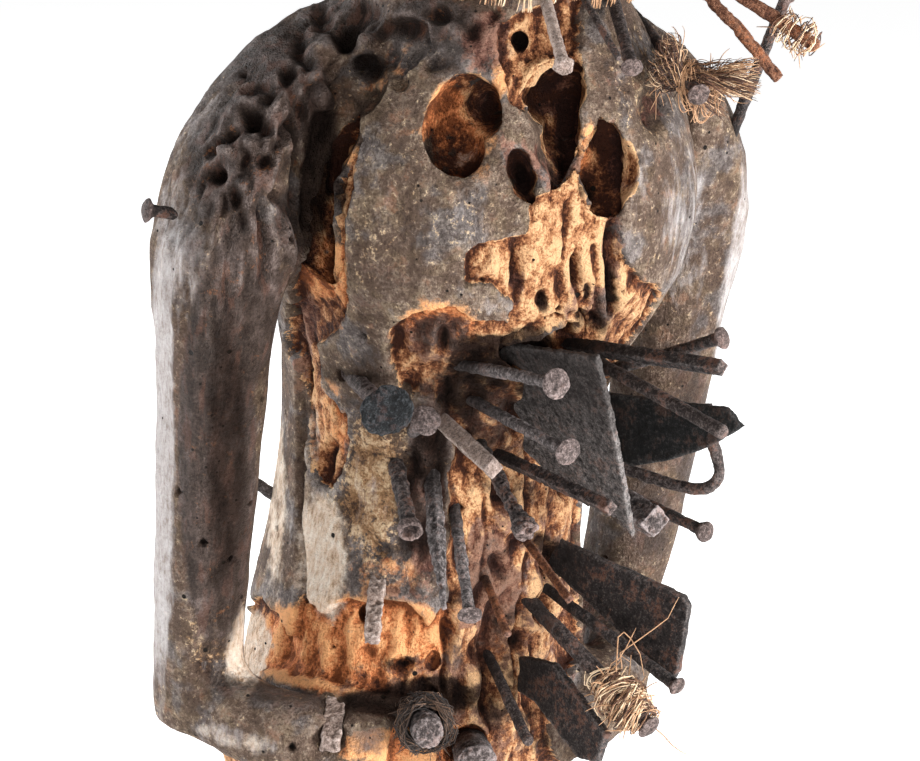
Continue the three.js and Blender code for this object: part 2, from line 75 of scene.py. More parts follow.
def inPicture(co):  # where points fall in the camera's picture
    p = co - np.array(eye)
    depth = -(p @ np.array(viewBack))
    u = focal * (p @ np.array(viewRight)) / depth
    v = -focal * (p @ np.array(viewUp)) / depth
    x = view["width"] / 2 + u * math.cos(roll) - v * math.sin(roll)
    y = view["height"] / 2 + u * math.sin(roll) + v * math.cos(roll)
    return x, y


def sightLine(x, y):  # direction from the camera through a place in its picture
    dx, dy = x - view["width"] / 2, y - view["height"] / 2
    u = dx * math.cos(roll) + dy * math.sin(roll)
    v = dy * math.cos(roll) - dx * math.sin(roll)
    return (viewRight * u / focal - viewUp * v / focal - viewBack).normalized()


def fromPicture(x, y, depth):
    line = sightLine(x, y)
    return eye + line * (depth / -line.dot(viewBack))


# Small tools

def smoothStep(low, high, value):
    t = np.clip((value - low) / (high - low), 0, 1)
    return t * t * (3 - 2 * t)


def hashAt(cell, seed):  # scattered numbers from 0 to 1, the same each run
    x, y, z = (np.ascontiguousarray(cell[:, i]).astype(np.int32).view(np.uint32) for i in range(3))
    h = x * np.uint32(374761393) + y * np.uint32(668265263) + z * np.uint32(1274126177)
    h = h + np.uint32(seed * 974711 & 0xFFFFFFFF)
    h = (h ^ (h >> np.uint32(13))) * np.uint32(1103515245)
    h = (h ^ (h >> np.uint32(15))) * np.uint32(2246822519)
    return (h ^ (h >> np.uint32(16))) * (1 / 0xFFFFFFFF)


def softNoise(co, size, seed=0, octaves=1, stretch=1):  # smooth noise from -1 to 1, size in metres
    p = co / size
    p[:, 2] /= stretch
    total, reach, weight = 0, 0, 1
    for octave in range(octaves):
        cell = np.floor(p)
        f = p - cell
        f = f * f * (3 - 2 * f)
        value = 0
        for corner in range(8):
            step = np.array([corner & 1, corner >> 1 & 1, corner >> 2])
            share = np.where(step, f, 1 - f)
            value = value + share[:, 0] * share[:, 1] * share[:, 2] * hashAt(cell + step, seed + octave)
        total = total + weight * (2 * value - 1)
        reach += weight
        weight *= 0.5
        p = p * 2.03 + 17.3
    return total / reach


def nearestSpot(co, size, seed, stretch=1):  # distance to the nearest of many scattered points
    p = co / size
    p[:, 2] /= stretch
    cell = np.floor(p)
    best = np.full(len(p), 9.0)
    for i in range(27):
        near = cell + np.array([i % 3 - 1, i // 3 % 3 - 1, i // 9 - 1])
        spot = near + np.stack([hashAt(near, seed + k) for k in range(3)], 1)
        best = np.minimum(best, np.linalg.norm(spot - p, axis=1))
    return best


def whereAny(mask, co, make):  # mask times make(points), worked out only where the mask isn't 0
    result = np.zeros(len(co))
    some = np.flatnonzero(np.abs(mask) > 0.002)
    if len(some):
        result[some] = mask[some] * make(co[some])
    return result


def pick(piece):  # the one selected and active object
    bpy.ops.object.select_all(action="DESELECT")
    piece.select_set(True)
    bpy.context.view_layer.objects.active = piece


def finishWith(piece, kind, **values):  # adds a modifier and applies it
    pick(piece)
    modifier = piece.modifiers.new(kind.title(), kind)
    for key, value in values.items():
        setattr(modifier, key, value)
    bpy.ops.object.modifier_apply(modifier=modifier.name)


def copyOf(node, name):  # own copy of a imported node, its loose triangles merged
    piece = bpy.data.objects.new(name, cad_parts[node].data.copy())
    bpy.context.collection.objects.link(piece)
    piece.data.materials.clear()
    pick(piece)
    bpy.ops.object.mode_set(mode="EDIT")
    bpy.ops.mesh.select_all(action="SELECT")
    bpy.ops.mesh.remove_doubles(threshold=0.00002)
    bpy.ops.object.mode_set(mode="OBJECT")
    return piece


def coordinates(piece):
    co = np.empty(len(piece.data.vertices) * 3)
    piece.data.vertices.foreach_get("co", co)
    return co.reshape(-1, 3)


def normals(piece):
    no = np.empty(len(piece.data.vertices) * 3, np.float32)
    piece.data.vertex_normals.foreach_get("vector", no)
    return no.reshape(-1, 3).astype(float)


def reshape(piece, co):
    piece.data.vertices.foreach_set("co", co.ravel())
    piece.data.update()


def store(piece, name, values):
    attribute = piece.data.attributes.get(name) or piece.data.attributes.new(name, "FLOAT", "POINT")
    attribute.data.foreach_set("value", np.asarray(values, np.float32))


def edgeEnds(piece):
    ends = np.empty(len(piece.data.edges) * 2, np.int32)
    piece.data.edges.foreach_get("vertices", ends)
    return ends[::2], ends[1::2]


def ridges(piece, rounds):  # how far each point stands out of its smoothed surroundings, in millimetres
    co, no = coordinates(piece), normals(piece)
    a, b = edgeEnds(piece)
    count = (np.bincount(a, minlength=len(co)) + np.bincount(b, minlength=len(co))).clip(1)
    smooth = co.copy()
    for i in range(rounds):
        total = [
            np.bincount(a, smooth[b, k], len(co)) + np.bincount(b, smooth[a, k], len(co)) for k in range(3)
        ]
        smooth = 0.5 * smooth + 0.5 * np.stack(total, 1) / count[:, None]
    return ((co - smooth) * no).sum(1) * 1000


def evened(piece, values, rounds):  # values at the points, averaged with their neighbours again and again
    a, b = edgeEnds(piece)
    count = len(piece.data.vertices)
    share = 1 / np.maximum(np.bincount(a, minlength=count) + np.bincount(b, minlength=count), 1)
    columns = [np.array(values[:, k]) for k in range(values.shape[1])]
    for i in range(rounds):
        for k, column in enumerate(columns):
            near = np.bincount(a, column[b], count) + np.bincount(b, column[a], count)
            columns[k] = 0.4 * column + 0.6 * near * share
    return np.array(columns).T


def smoothShaded(piece):
    piece.data.polygons.foreach_set("use_smooth", np.ones(len(piece.data.polygons), bool))
    piece.data.update()


def place(piece, slot, material, *nodes):  # last step for every new piece
    piece.data.materials.clear()
    piece.data.materials.append(material)
    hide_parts(*nodes)
    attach(piece, "root")


# Materials

def startMaterial(name, **values):
    material = bpy.data.materials.new(name)
    material.use_nodes = True
    tree = material.node_tree
    shader = tree.nodes["Principled BSDF"]
    for key, value in values.items():
        shader.inputs[key].default_value = value
    return material, tree, shader


def add(tree, kind, values=None, **settings):  # a node, with sockets or numbers for its inputs
    node = tree.nodes.new("ShaderNode" + kind)
    for key, value in settings.items():
        setattr(node, key, value)
    for key, value in (values or {}).items():
        if isinstance(value, bpy.types.NodeSocket):
            tree.links.new(value, node.inputs[key])
        else:
            node.inputs[key].default_value = value
    return node


def mathNode(tree, operation, a, b=0.0, c=0.0, clamp=False):
    return add(tree, "Math", {0: a, 1: b, 2: c}, operation=operation, use_clamp=clamp).outputs[0]


def times(tree, a, b):
    return mathNode(tree, "MULTIPLY", a, b)


def weighted(tree, *shares):  # values added up, each with its weight
    total = times(tree, *shares[0])
    for value, weight in shares[1:]:
        total = mathNode(tree, "MULTIPLY_ADD", value, weight, total)
    return total


def grainNoise(tree, scale, detail=2.0, rough=0.5, along=1):  # below 1, along draws it out up the grain
    where = add(tree, "TexCoord").outputs["Object"]
    if along != 1:
        where = add(tree, "Mapping", {"Vector": where, "Scale": (1, 1, along)}).outputs[0]
    values = {"Vector": where, "Scale": scale, "Detail": detail, "Roughness": rough}
    return add(tree, "TexNoise", values).outputs["Fac"]


def ramp(tree, factor, stops):
    node = add(tree, "ValToRGB", {"Fac": factor})
    colours = node.color_ramp.elements
    while len(colours) < len(stops):
        colours.new(0.5)
    for element, (at, colour) in zip(colours, stops):
        element.position = at
        element.color = (*colour, 1)
    return node.outputs["Color"]


def blend(tree, factor, a, b, kind="MIX"):
    node = add(tree, "Mix", data_type="RGBA", blend_type=kind)
    for socket, value in zip((node.inputs[0], node.inputs[6], node.inputs[7]), (factor, a, b)):
        if isinstance(value, bpy.types.NodeSocket):
            tree.links.new(value, socket)
        elif isinstance(value, tuple):
            socket.default_value = (*value, 1)
        else:
            socket.default_value = value
    return node.outputs[2]


def laid(tree, colour, mask, share, over):  # a second colour over the first, where the mask says
    return blend(tree, times(tree, mask, share), colour, over)


def attributeOf(tree, name):
    return add(tree, "Attribute", attribute_name=name).outputs["Fac"]


def stepped(tree, value, low, high):
    return add(tree, "MapRange", {0: value, 1: low, 2: high}, interpolation_type="SMOOTHSTEP").outputs[0]


def bumped(tree, shader, height, distance, strength=1.0):
    bump = add(tree, "Bump", {"Height": height, "Distance": distance, "Strength": strength})
    tree.links.new(bump.outputs["Normal"], shader.inputs["Normal"])


def toneMask(tree, noise, spread, amount, low, high):  # a soft patch broken up by noise
    broken = mathNode(tree, "MULTIPLY_ADD", mathNode(tree, "SUBTRACT", noise, 0.5), spread, amount)
    return stepped(tree, broken, low, high)


woodNoises = {  # waves for each metre, detail, roughness, share along the grain
    "freckle": (1900, 2, 0.8),
    "fine": (1000, 3, 0.7),
    "speck": (430, 4, 0.72),
    "mottle": (150, 5, 0.68),
    "trace": (130, 2, 0.4),
    "blotch": (95, 5, 0.62),
    "broad": (42, 4, 0.6),
    "grain": (700, 3, 0.65, 0.3),
    "streak": (210, 4, 0.6, 0.3),
}

woodTones = {  # colours from dark to light
    "shell": [
        (0.35, (0.035, 0.02, 0.014)), (0.44, (0.08, 0.049, 0.034)), (0.54, (0.132, 0.086, 0.062)),
        (0.66, (0.33, 0.25, 0.19)),
    ],
    "olive": [(0.35, (0.045, 0.028, 0.016)), (0.5, (0.145, 0.097, 0.058)), (0.65, (0.38, 0.285, 0.18))],
    "bluish": [(0.35, (0.035, 0.031, 0.032)), (0.5, (0.11, 0.097, 0.095)), (0.65, (0.3, 0.275, 0.275))],
    "ochre": [(0.38, (0.12, 0.055, 0.024)), (0.5, (0.43, 0.24, 0.115)), (0.6, (0.82, 0.61, 0.38))],
    "bare": [
        (0.38, (0.05, 0.015, 0.007)), (0.45, (0.2, 0.066, 0.026)), (0.51, (0.5, 0.22, 0.095)),
        (0.6, (0.87, 0.52, 0.27)),
    ],
    "orange": [(0.37, (0.24, 0.07, 0.023)), (0.46, (0.7, 0.225, 0.078)), (0.57, (0.97, 0.47, 0.2))],
    "red": [(0.38, (0.028, 0.009, 0.006)), (0.5, (0.13, 0.05, 0.034)), (0.62, (0.33, 0.17, 0.12))],
    # pale and cream serve for pale worn wood and for painted highlights
    "pale": [(0.36, (0.33, 0.27, 0.24)), (0.48, (0.53, 0.48, 0.465)), (0.62, (0.68, 0.65, 0.645))],
    "cream": [(0.36, (0.4, 0.25, 0.15)), (0.46, (0.76, 0.57, 0.42)), (0.6, (0.93, 0.82, 0.7))],
    # the dark tone serves for dark wood and for painted shade
    "dark": [
        (0.4, (0.015, 0.008, 0.006)), (0.5, (0.042, 0.028, 0.022)), (0.58, (0.082, 0.058, 0.05)),
        (0.74, (0.27, 0.215, 0.195)),
    ],
    # the soot tone serves for dark crust and for painted shade
    "sootAndShade": [(0.42, (0.009, 0.006, 0.005)), (0.6, (0.03, 0.019, 0.015))],
    "grit": [(0.36, (0.3, 0.26, 0.24)), (0.48, (0.95, 0.95, 0.95)), (0.62, (1.0, 1.0, 1.0))],
}

woodStains = {  # single colours laid over
    "warm": (0.24, 0.11, 0.058),
    "fleck": (0.44, 0.35, 0.27),
    "line": (0.045, 0.028, 0.021),
    "vein": (0.11, 0.047, 0.03),
    "rust": (0.22, 0.085, 0.035),
    # the dark inside a beetle hole, which is painted shade
    "hole": (0.01, 0.007, 0.005),
}

paintedHoles = [(95.0, 0.36, 0.1), (230.0, 0.16, 0.13)]  # cells for each metre, share with a hole, radius


def oldSurface(tree, noise, at):  # grey and brown, with olive, bluish and ochre stains
    mottle, speck, broad, blotch = (noise[name] for name in ("mottle", "speck", "broad", "blotch"))
    # the ridge share lightens ridges and darkens hollows: edge wear and painted shade
    tone = weighted(tree, (speck, 0.3), (mottle, 0.45), (noise["fine"], 0.25), (at["ridge"], 0.075))
    colour = ramp(tree, tone, woodTones["shell"])
    olive, bluish, ochre = (ramp(tree, tone, woodTones[name]) for name in ("olive", "bluish", "ochre"))
    colour = laid(tree, colour, stepped(tree, blotch, 0.48, 0.6), 0.45, olive)
    colour = laid(tree, colour, stepped(tree, broad, 0.49, 0.4), 0.65, bluish)
    warmth = times(tree, stepped(tree, mottle, 0.53, 0.64), stepped(tree, broad, 0.44, 0.56))
    colour = laid(tree, colour, warmth, 0.6, woodStains["warm"])
    flecks = stepped(tree, weighted(tree, (noise["fine"], 0.4), (speck, 0.6)), 0.56, 0.65)
    colour = laid(tree, colour, flecks, 0.4, woodStains["fleck"])
    lines = mathNode(tree, "ABSOLUTE", mathNode(tree, "SUBTRACT", noise["trace"], 0.5))
    lines = times(tree, stepped(tree, lines, 0.014, 0.003), stepped(tree, blotch, 0.44, 0.54))
    colour = laid(tree, colour, lines, 0.55, woodStains["line"])
    return laid(tree, colour, toneMask(tree, speck, 3.4, at["ochre"], 0.35, 0.8), 0.8, ochre)


def agedAndHighlightedOver(tree, colour, noise, at, body):  # broad tones of age over the old surface and the bare wood; the pale and cream tones also carry painted highlights
    lengthwise = weighted(tree, (noise["mottle"], 0.5), (noise["grain"], 0.5))
    for name, brokenBy, spread, low, high, share, shade in (
        ("orange", "mottle", 1.8, 0.3, 0.7, 0.92, body),
        ("red", "mottle", 2.4, 0.3, 0.65, 0.9, body),
        ("pale", "streak", 1.4, 0.25, 0.85, 0.92, lengthwise),
        ("cream", "mottle", 1.8, 0.2, 1.0, 0.9, lengthwise),
    ):
        mask = toneMask(tree, noise[brokenBy], spread, at[name], low, high)
        colour = laid(tree, colour, mask, share, ramp(tree, shade, woodTones[name]))
    return colour


def darkenedAndShaded(tree, colour, noise, at):  # dark wood with rusty veins, and soot over it, both partly painted shade; also their masks
    streak, mottle = noise["streak"], noise["mottle"]
    # the ridge share lightens ridges and darkens hollows: edge wear and painted shade
    worn = weighted(tree, (noise["fine"], 0.25), (streak, 0.4), (mottle, 0.35), (at["ridge"], 0.1))
    dark = ramp(tree, worn, woodTones["dark"])
    dark = laid(tree, dark, stepped(tree, streak, 0.52, 0.62), 0.5, woodStains["vein"])
    rust = stepped(tree, weighted(tree, (noise["blotch"], 0.4), (noise["speck"], 0.6)), 0.58, 0.64)
    dark = laid(tree, dark, rust, 0.6, woodStains["rust"])
    darkMask = toneMask(tree, mottle, 1.1, at["dark"], 0.25, 0.75)
    colour = laid(tree, colour, darkMask, 0.95, dark)
    # soot and painted shade, laid where the soot patches say
    sootAndShadeMask = toneMask(tree, mottle, 1.3, at["sootAndShade"], 0.25, 0.85)
    return laid(tree, colour, sootAndShadeMask, 0.95, ramp(tree, worn, woodTones["sootAndShade"])), darkMask, sootAndShadeMask


def holeOpening(tree, hole):  # 0 in a beetle hole, 1 outside it
    opening = 1.0
    where = add(tree, "TexCoord").outputs["Object"]
    for scale, share, radius in paintedHoles:
        cells = add(tree, "TexVoronoi", {"Vector": where, "Scale": scale})
        chance = add(tree, "SeparateColor", {"Color": cells.outputs["Color"]}).outputs[0]
        whole = stepped(tree, chance, share, share + 0.01)
        clear = stepped(tree, cells.outputs["Distance"], radius * 0.75, radius)
        opening = times(tree, mathNode(tree, "MAXIMUM", whole, clear), opening)
    return mathNode(tree, "MULTIPLY", opening, mathNode(tree, "SUBTRACT", 1.0, hole), clamp=True)


def woodMaterial():
    material, tree, shader = startMaterial("weathered_wood", Roughness=0.8)
    noise = {name: grainNoise(tree, *row) for name, row in woodNoises.items()}
    names = ("sootAndShade", "dark", "pale", "cream", "ochre", "red", "orange", "ridge", "bare", "hole")
    at = {name: attributeOf(tree, name) for name in names}
    mottle, speck, fine, grain = (noise[name] for name in ("mottle", "speck", "fine", "grain"))

    # bare wood, orange and crumbling, where the old surface has gone
    edge = mathNode(tree, "MULTIPLY_ADD", mathNode(tree, "SUBTRACT", mottle, 0.5), 3.0, at["bare"])
    edge = mathNode(tree, "MULTIPLY_ADD", mathNode(tree, "SUBTRACT", speck, 0.5), 2.4, edge)
    bareMask = stepped(tree, edge, -0.12, 0.12)
    # the ridge share lightens ridges and darkens hollows: edge wear and painted shade
    body = weighted(tree, (mottle, 0.22), (grain, 0.2), (speck, 0.3), (fine, 0.28), (at["ridge"], 0.13))
    colour = blend(tree, bareMask, oldSurface(tree, noise, at), ramp(tree, body, woodTones["bare"]))
    colour = agedAndHighlightedOver(tree, colour, noise, at, body)
    colour, darkMask, sootAndShadeMask = darkenedAndShaded(tree, colour, noise, at)
    grit = ramp(tree, weighted(tree, (fine, 0.5), (noise["freckle"], 0.5)), woodTones["grit"])
    colour = blend(tree, mathNode(tree, "MULTIPLY_ADD", bareMask, 0.2, 0.45), colour, grit, "MULTIPLY")
    # beetle holes, painted and modelled, are darkened inside: painted shade
    opening = holeOpening(tree, at["hole"])
    colour = blend(tree, mathNode(tree, "SUBTRACT", 1.0, opening), colour, woodStains["hole"])
    rough = mathNode(tree, "MULTIPLY_ADD", mottle, 0.2, mathNode(tree, "MULTIPLY_ADD", darkMask, -0.3, 0.68))
    tree.links.new(colour, shader.inputs["Base Color"])
    tree.links.new(rough, shader.inputs["Roughness"])
    tree.links.new(mathNode(tree, "MULTIPLY_ADD", sootAndShadeMask, -0.14, 0.16), shader.inputs["Specular IOR Level"])

    height = weighted(tree, (speck, 1.0), (fine, 0.9), (noise["freckle"], 0.4), (grain, 0.6))
    height = times(tree, height, mathNode(tree, "MULTIPLY_ADD", bareMask, 0.2, 0.95))
    bumped(tree, shader, mathNode(tree, "MULTIPLY_ADD", opening, 1.2, height), 0.0024)
    return material


ironStains = {  # colours of worn heads, and of a shank where it enters the wood
    "head": [(0.4, (0.022, 0.016, 0.015)), (0.51, (0.088, 0.06, 0.053)), (0.66, (0.34, 0.255, 0.235))],
    "root": (0.012, 0.008, 0.007),
}


def ironMaterial(name, dark, mid, light, rustColour, rustShare, pits=0.0):
    material, tree, shader = startMaterial(name, Roughness=0.66, Metallic=0.1)
    shader.inputs["Specular IOR Level"].default_value = 0.18
    fine, speck = grainNoise(tree, 1500, 3, 0.7), grainNoise(tree, 600, 4, 0.7)
    broad, drawn = grainNoise(tree, 120, 4, 0.65), grainNoise(tree, 420, 4, 0.7, 0.4)
    worn, ridge, root = (attributeOf(tree, each) for each in ("worn", "ridge", "root"))
    # the ridge share lightens edges and darkens creases: edge wear and painted shade
    tone = weighted(tree, (speck, 0.35), (fine, 0.4), (broad, 0.25), (ridge, 0.11))
    colour = ramp(tree, tone, [(0.4, dark), (0.51, mid), (0.66, light)])
    rust = stepped(tree, weighted(tree, (broad, 0.6), (speck, 0.5)), 0.56, 0.66)
    colour = laid(tree, colour, rust, rustShare, rustColour)
    colour = laid(tree, colour, worn, 0.8, ramp(tree, tone, ironStains["head"]))
    pitted = stepped(tree, drawn, 0.62, 0.52)
    colour = laid(tree, colour, mathNode(tree, "SUBTRACT", 1.0, pitted), pits, dark)
    colour = laid(tree, colour, root, 0.75, ironStains["root"])
    tree.links.new(colour, shader.inputs["Base Color"])
    height = mathNode(tree, "MULTIPLY_ADD", speck, 0.8, fine)
    bumped(tree, shader, mathNode(tree, "MULTIPLY_ADD", pitted, pits * 0.8, height), 0.0009)
    return material


def fibreMaterial(name, stops):
    material, tree, shader = startMaterial(name, Roughness=0.68)
    streak = grainNoise(tree, 900, 3, 0.6)
    tone = weighted(tree, (attributeOf(tree, "tone"), 0.6), (streak, 0.4))
    tree.links.new(ramp(tree, tone, stops), shader.inputs["Base Color"])
    bumped(tree, shader, streak, 0.0002, 0.5)
    return material


# Irons: dark, middling and light colour, then rust, its share and how pitted they are.
wood = woodMaterial()
iron = ironMaterial(
    "rusted_iron", (0.008, 0.006, 0.006), (0.036, 0.027, 0.025), (0.2, 0.165, 0.155), (0.17, 0.062, 0.03), 0.5
)
rustIron = ironMaterial(
    "orange_rusted_iron", (0.02, 0.009, 0.007), (0.11, 0.042, 0.022), (0.3, 0.15, 0.09), (0.3, 0.1, 0.04), 0.7
)
greyIron = ironMaterial(
    "grey_crusted_iron",
    (0.018, 0.015, 0.015), (0.08, 0.068, 0.066), (0.36, 0.32, 0.315), (0.2, 0.095, 0.065), 0.4,
)
darkIron = ironMaterial(
    "blackened_iron",
    (0.007, 0.006, 0.006), (0.032, 0.026, 0.025), (0.17, 0.148, 0.14), (0.17, 0.06, 0.028), 0.5, 0.3,
)
blackIron = ironMaterial(
    "black_iron",
    (0.003, 0.003, 0.003), (0.01, 0.01, 0.01), (0.07, 0.066, 0.065), (0.06, 0.025, 0.014), 0.5, 0.3,
)
bladeIron = ironMaterial(
    "grey_blade_iron",
    (0.014, 0.012, 0.012), (0.088, 0.077, 0.073), (0.3, 0.275, 0.265), (0.15, 0.07, 0.046), 0.45, 0.6,
)
discIron = ironMaterial(
    "disc_iron", (0.003, 0.003, 0.003), (0.007, 0.008, 0.009), (0.065, 0.07, 0.075), (0.05, 0.02, 0.014), 0.4
)
pegWood = ironMaterial(
    "pale_peg_wood",
    (0.1, 0.068, 0.054), (0.34, 0.255, 0.215), (0.68, 0.575, 0.52), (0.22, 0.13, 0.09), 0.5, 0.5,
)
pegWood.node_tree.nodes["Principled BSDF"].inputs["Metallic"].default_value = 0
raffia = fibreMaterial("raffia", [
    (0.2, (0.022, 0.011, 0.008)), (0.34, (0.12, 0.05, 0.028)), (0.52, (0.45, 0.25, 0.13)),
    (0.72, (0.84, 0.64, 0.43)),
])
darkFibre = fibreMaterial("dark_fibre", [
    (0.3, (0.008, 0.005, 0.004)), (0.5, (0.036, 0.021, 0.015)), (0.75, (0.16, 0.09, 0.055)),
])
print("materials made")


# Wood: rotted hollows are cut, then the surface is worn and given its tones, some of them painted shade and
# painted highlights. Places are picture places, sizes picture units, depths millimetres. A place in the
# picture is carried straight to the wood that the camera sees there.
hollowOutlines = {  # depth in millimetres, whether its walls are bare wood, its outline in the picture
    "heart": (14, True, [
        (448, 87), (462, 80), (479, 78), (497, 99), (501, 123), (483, 138), (481, 164), (469, 175),
        (447, 173), (432, 154), (427, 123), (439, 99),
    ]),
    "heart_deep": (27, True, [(461, 96), (478, 82), (494, 98), (499, 122), (484, 134), (468, 130)]),
    "beside_heart": (15, True, [
        (513, 150), (521, 149), (530, 168), (533, 190), (531, 204), (522, 197), (513, 182), (508, 165),
    ]),
    "breastbone": (27, True, [
        (542, 73), (558, 69), (574, 71), (578, 111), (576, 138), (568, 165), (558, 187), (549, 165),
        (543, 127), (530, 110), (534, 90),
    ]),
    "left_of_breastbone": (12, True, [
        (599, 117), (613, 125), (621, 140), (622, 200), (608, 214), (592, 200), (576, 190), (590, 150),
    ]),
    "collar_hole": (10, True, [(519, 30), (526, 31), (529, 42), (524, 47), (518, 41)]),
    "band_hole": (14, True, [(543, 296), (547, 295), (548, 304), (547, 314), (544, 315), (542, 306)]),
    "under_blade": (12, True, [(505, 346), (540, 338), (580, 344), (600, 356), (560, 366), (520, 362)]),
    "hip_pit": (7, True, [(433, 661), (439, 660), (442, 668), (438, 676), (432, 672)]),
}
hollows = [  # the groove beside the arm, then two small ones: x, y, half width, half height, tilt, depth
    (316, 205, 23, 78, 3, 27), (331, 132, 26, 56, 20, 22), (358, 84, 30, 34, 40, 12),
    (392, 44, 34, 30, 50, 7), (340, 376, 7, 7, 0, 8), (363, 617, 6, 9, 0, 8),
]
dents = [  # soft dents, or bumps where the depth is below 0: x, y, half width, half height, tilt, depth
    (252, 118, 12.8, 11.9, 10, 5.6), (267, 128, 7.6, 9.3, 0, 3.7), (229, 136, 17, 7.6, -28, 3.7),
    (214, 175, 11.9, 11, 0, 5.6), (265, 160, 10.2, 7.6, 20, 4.3), (235, 198, 7.6, 11.9, 0, 3.7),
    (277, 196, 5.1, 7.6, 0, 3.7), (300, 112, 6, 6.8, 0, 3.7), (286, 136, 8.5, 20.4, 8, 4.3),
    (265, 222, 8.5, 35.7, -4, 2.5), (286, 74, 8.5, 11.9, 30, 3.7), (345, 32, 14.4, 18.7, 20, 5),
    (298, 44, 8.5, 18.7, 10, 3.1), (368, 62, 13.6, 13.6, 30, 3.7), (362, 10, 13.6, 11.9, 0, 3.1),
    (392, 60, 11.9, 10.2, 0, 2.5), (268, 94, 9.3, 12.8, 30, 3.7), (306, 60, 6.8, 8.5, 0, 2.5),
    (332, 66, 7.6, 10.2, 30, 3.1), (245, 160, 6, 7.6, 20, 2.5), (222, 205, 4.2, 13.6, 0, 1.9),
    (198, 190, 3.4, 10.2, 5, 1.6), (292, 165, 6, 11.9, 0, 2.5), (252, 90, 10.2, 6.8, -35, 3.1),
    (322, 16, 10.2, 10.2, 0, 3.1), (410, 30, 16, 12, 0, 4), (440, 14, 14, 10, 0, 4),
    (308, 205, 6.8, 25.5, 4, 3.1), (242, 222, 5.1, 13.6, 0, 1.9), (210, 150, 6.8, 8.5, -30, 1.9),
    (385, 30, 10.2, 11.9, 20, 2.5), (337, 92, 8.5, 17, 30, 3.1), (321, 97, 10.2, 11, 0, -3.6),
    (277, 100, 6, 11.9, 10, -2.7), (268, 143, 4.2, 11, 5, -2.2), (225, 152, 7.6, 6, 30, -2.7),
    (298, 150, 5.1, 22.1, 6, -2.7), (285, 240, 5.1, 28.9, -12, -3.1), (326, 44, 15.3, 10.2, 0, -2.7),
    (250, 145, 6.8, 6.8, 0, -2.7), (245, 182, 7.6, 6.8, 0, -2.2), (314, 76, 10.2, 6.8, -20, -2.7),
    (258, 180, 5.1, 11.9, 0, -1.8), (300, 90, 6, 6.8, 0, -2.2), (362, 40, 6, 11.9, 40, -2.7),
    (380, 84, 10.2, 6.8, -40, -1.8), (655, 108, 16, 24, 10, 3), (620, 70, 12, 10, 0, -1.5),
    (438, 62, 12, 8, 0, 2.5), (400, 84, 10, 8, -30, 2.5), (466, 62, 10, 8, 0, -2),
    (474, 30, 10, 10, 0, 2.5), (430, 44, 9, 8, 0, 2), (497, 18, 8, 10, 0, 2), (455, 28, 8, 10, 0, -2),
    (205, 668, 12, 10, 0, 2.5), (548, 236, 24, 52, 0, -2.4), (487, 262, 18, 20, 0, -1.2),
    (583, 276, 5, 26, 2, 3.5), (617, 262, 7, 56, 0, 4.5), (322, 463, 7, 20, 0, 3.5),
    (520, 285, 7, 26, 0, 2.5), (566, 292, 7, 20, 0, 2.5), (592, 330, 18, 14, 0, 4),
    (528, 350, 26, 10, 0, 4), (560, 328, 8, 10, 0, 4), (635, 306, 20, 18, 0, -1.5),
    (508, 500, 13, 20, 0, 5), (470, 470, 12, 26, 0, 3), (560, 565, 9, 14, 20, 5), (487, 655, 10, 16, 0, 4),
    (530, 645, 12, 14, 0, 5), (556, 612, 8, 16, 20, 5), (505, 572, 8, 14, 0, 4), (496, 700, 12, 24, 0, 5),
    (400, 672, 12, 12, 0, 4), (452, 640, 10, 16, 0, 4), (548, 440, 10, 30, 10, 4), (520, 425, 9, 18, 0, 4),
    (486, 600, 9, 18, 0, 4), (462, 560, 8, 18, 0, 4), (540, 700, 10, 24, 0, 4), (515, 525, 14, 12, 0, -3),
    (490, 545, 10, 20, 0, -2.5), (540, 590, 12, 16, 0, -3), (570, 600, 8, 20, 10, -2),
    (480, 690, 10, 20, 0, -3), (515, 680, 10, 18, 0, -3), (436, 640, 12, 12, 0, -2),
    (305, 650, 9, 26, 0, 1.6), (276, 650, 9, 22, 0, 1.4), (335, 665, 10, 20, 0, 1.5),
    (366, 655, 8, 12, 0, 1.5), (443, 348, 8, 14, 0, 3), (404, 548, 9, 14, 0, 3), (430, 430, 16, 26, 0, 3),
    (408, 470, 12, 24, 0, 3), (436, 490, 10, 24, 0, 3.5), (420, 540, 12, 22, 0, 3),
    (372, 452, 12, 10, 0, 1.5), (352, 508, 12, 18, 0, 1.5), (384, 552, 10, 12, 0, 2),
    (395, 400, 16, 14, 0, 2), (446, 540, 8, 22, 0, -2.5), (424, 585, 12, 12, 0, -2),
    (448, 452, 10, 12, 0, -2),
]

scores = [  # grooves down the wood: from x, y to x, y, half width, depth
    (299, 372, 301, 600, 2.4, 3.2), (288, 312, 300, 372, 2.0, 1.5), (571, 199, 568, 262, 1.0, 1.8),
    (619, 236, 617, 318, 3.0, 2.5), (581, 262, 583, 288, 2.2, 2.5), (516, 246, 514, 292, 1.5, 2.4),
    (593, 288, 593, 312, 2.5, 2.5), (267, 196, 263, 300, 4.5, 2.6), (478, 205, 486, 240, 1.0, 0.5),
    (345, 100, 341, 300, 2.0, 0.8), (360, 520, 372, 536, 1.0, 0.9), (372, 540, 382, 556, 1.0, 0.9),
    (322, 505, 323, 526, 0.9, 0.9), (452, 620, 446, 700, 4.0, 2.2), (410, 640, 404, 690, 3.0, 1.0),
    (338, 620, 332, 680, 3.0, 1.1), (276, 620, 270, 690, 2.5, 1.1), (500, 610, 492, 740, 4.0, 2.4),
    (535, 560, 520, 700, 3.5, 2.4), (548, 640, 545, 740, 4.0, 2.4), (490, 500, 488, 580, 3.0, 2.0),
    (540, 470, 536, 540, 3.0, 2.4), (585, 300, 590, 345, 2.5, 2.0), (600, 250, 604, 330, 2.5, 2.0),
]

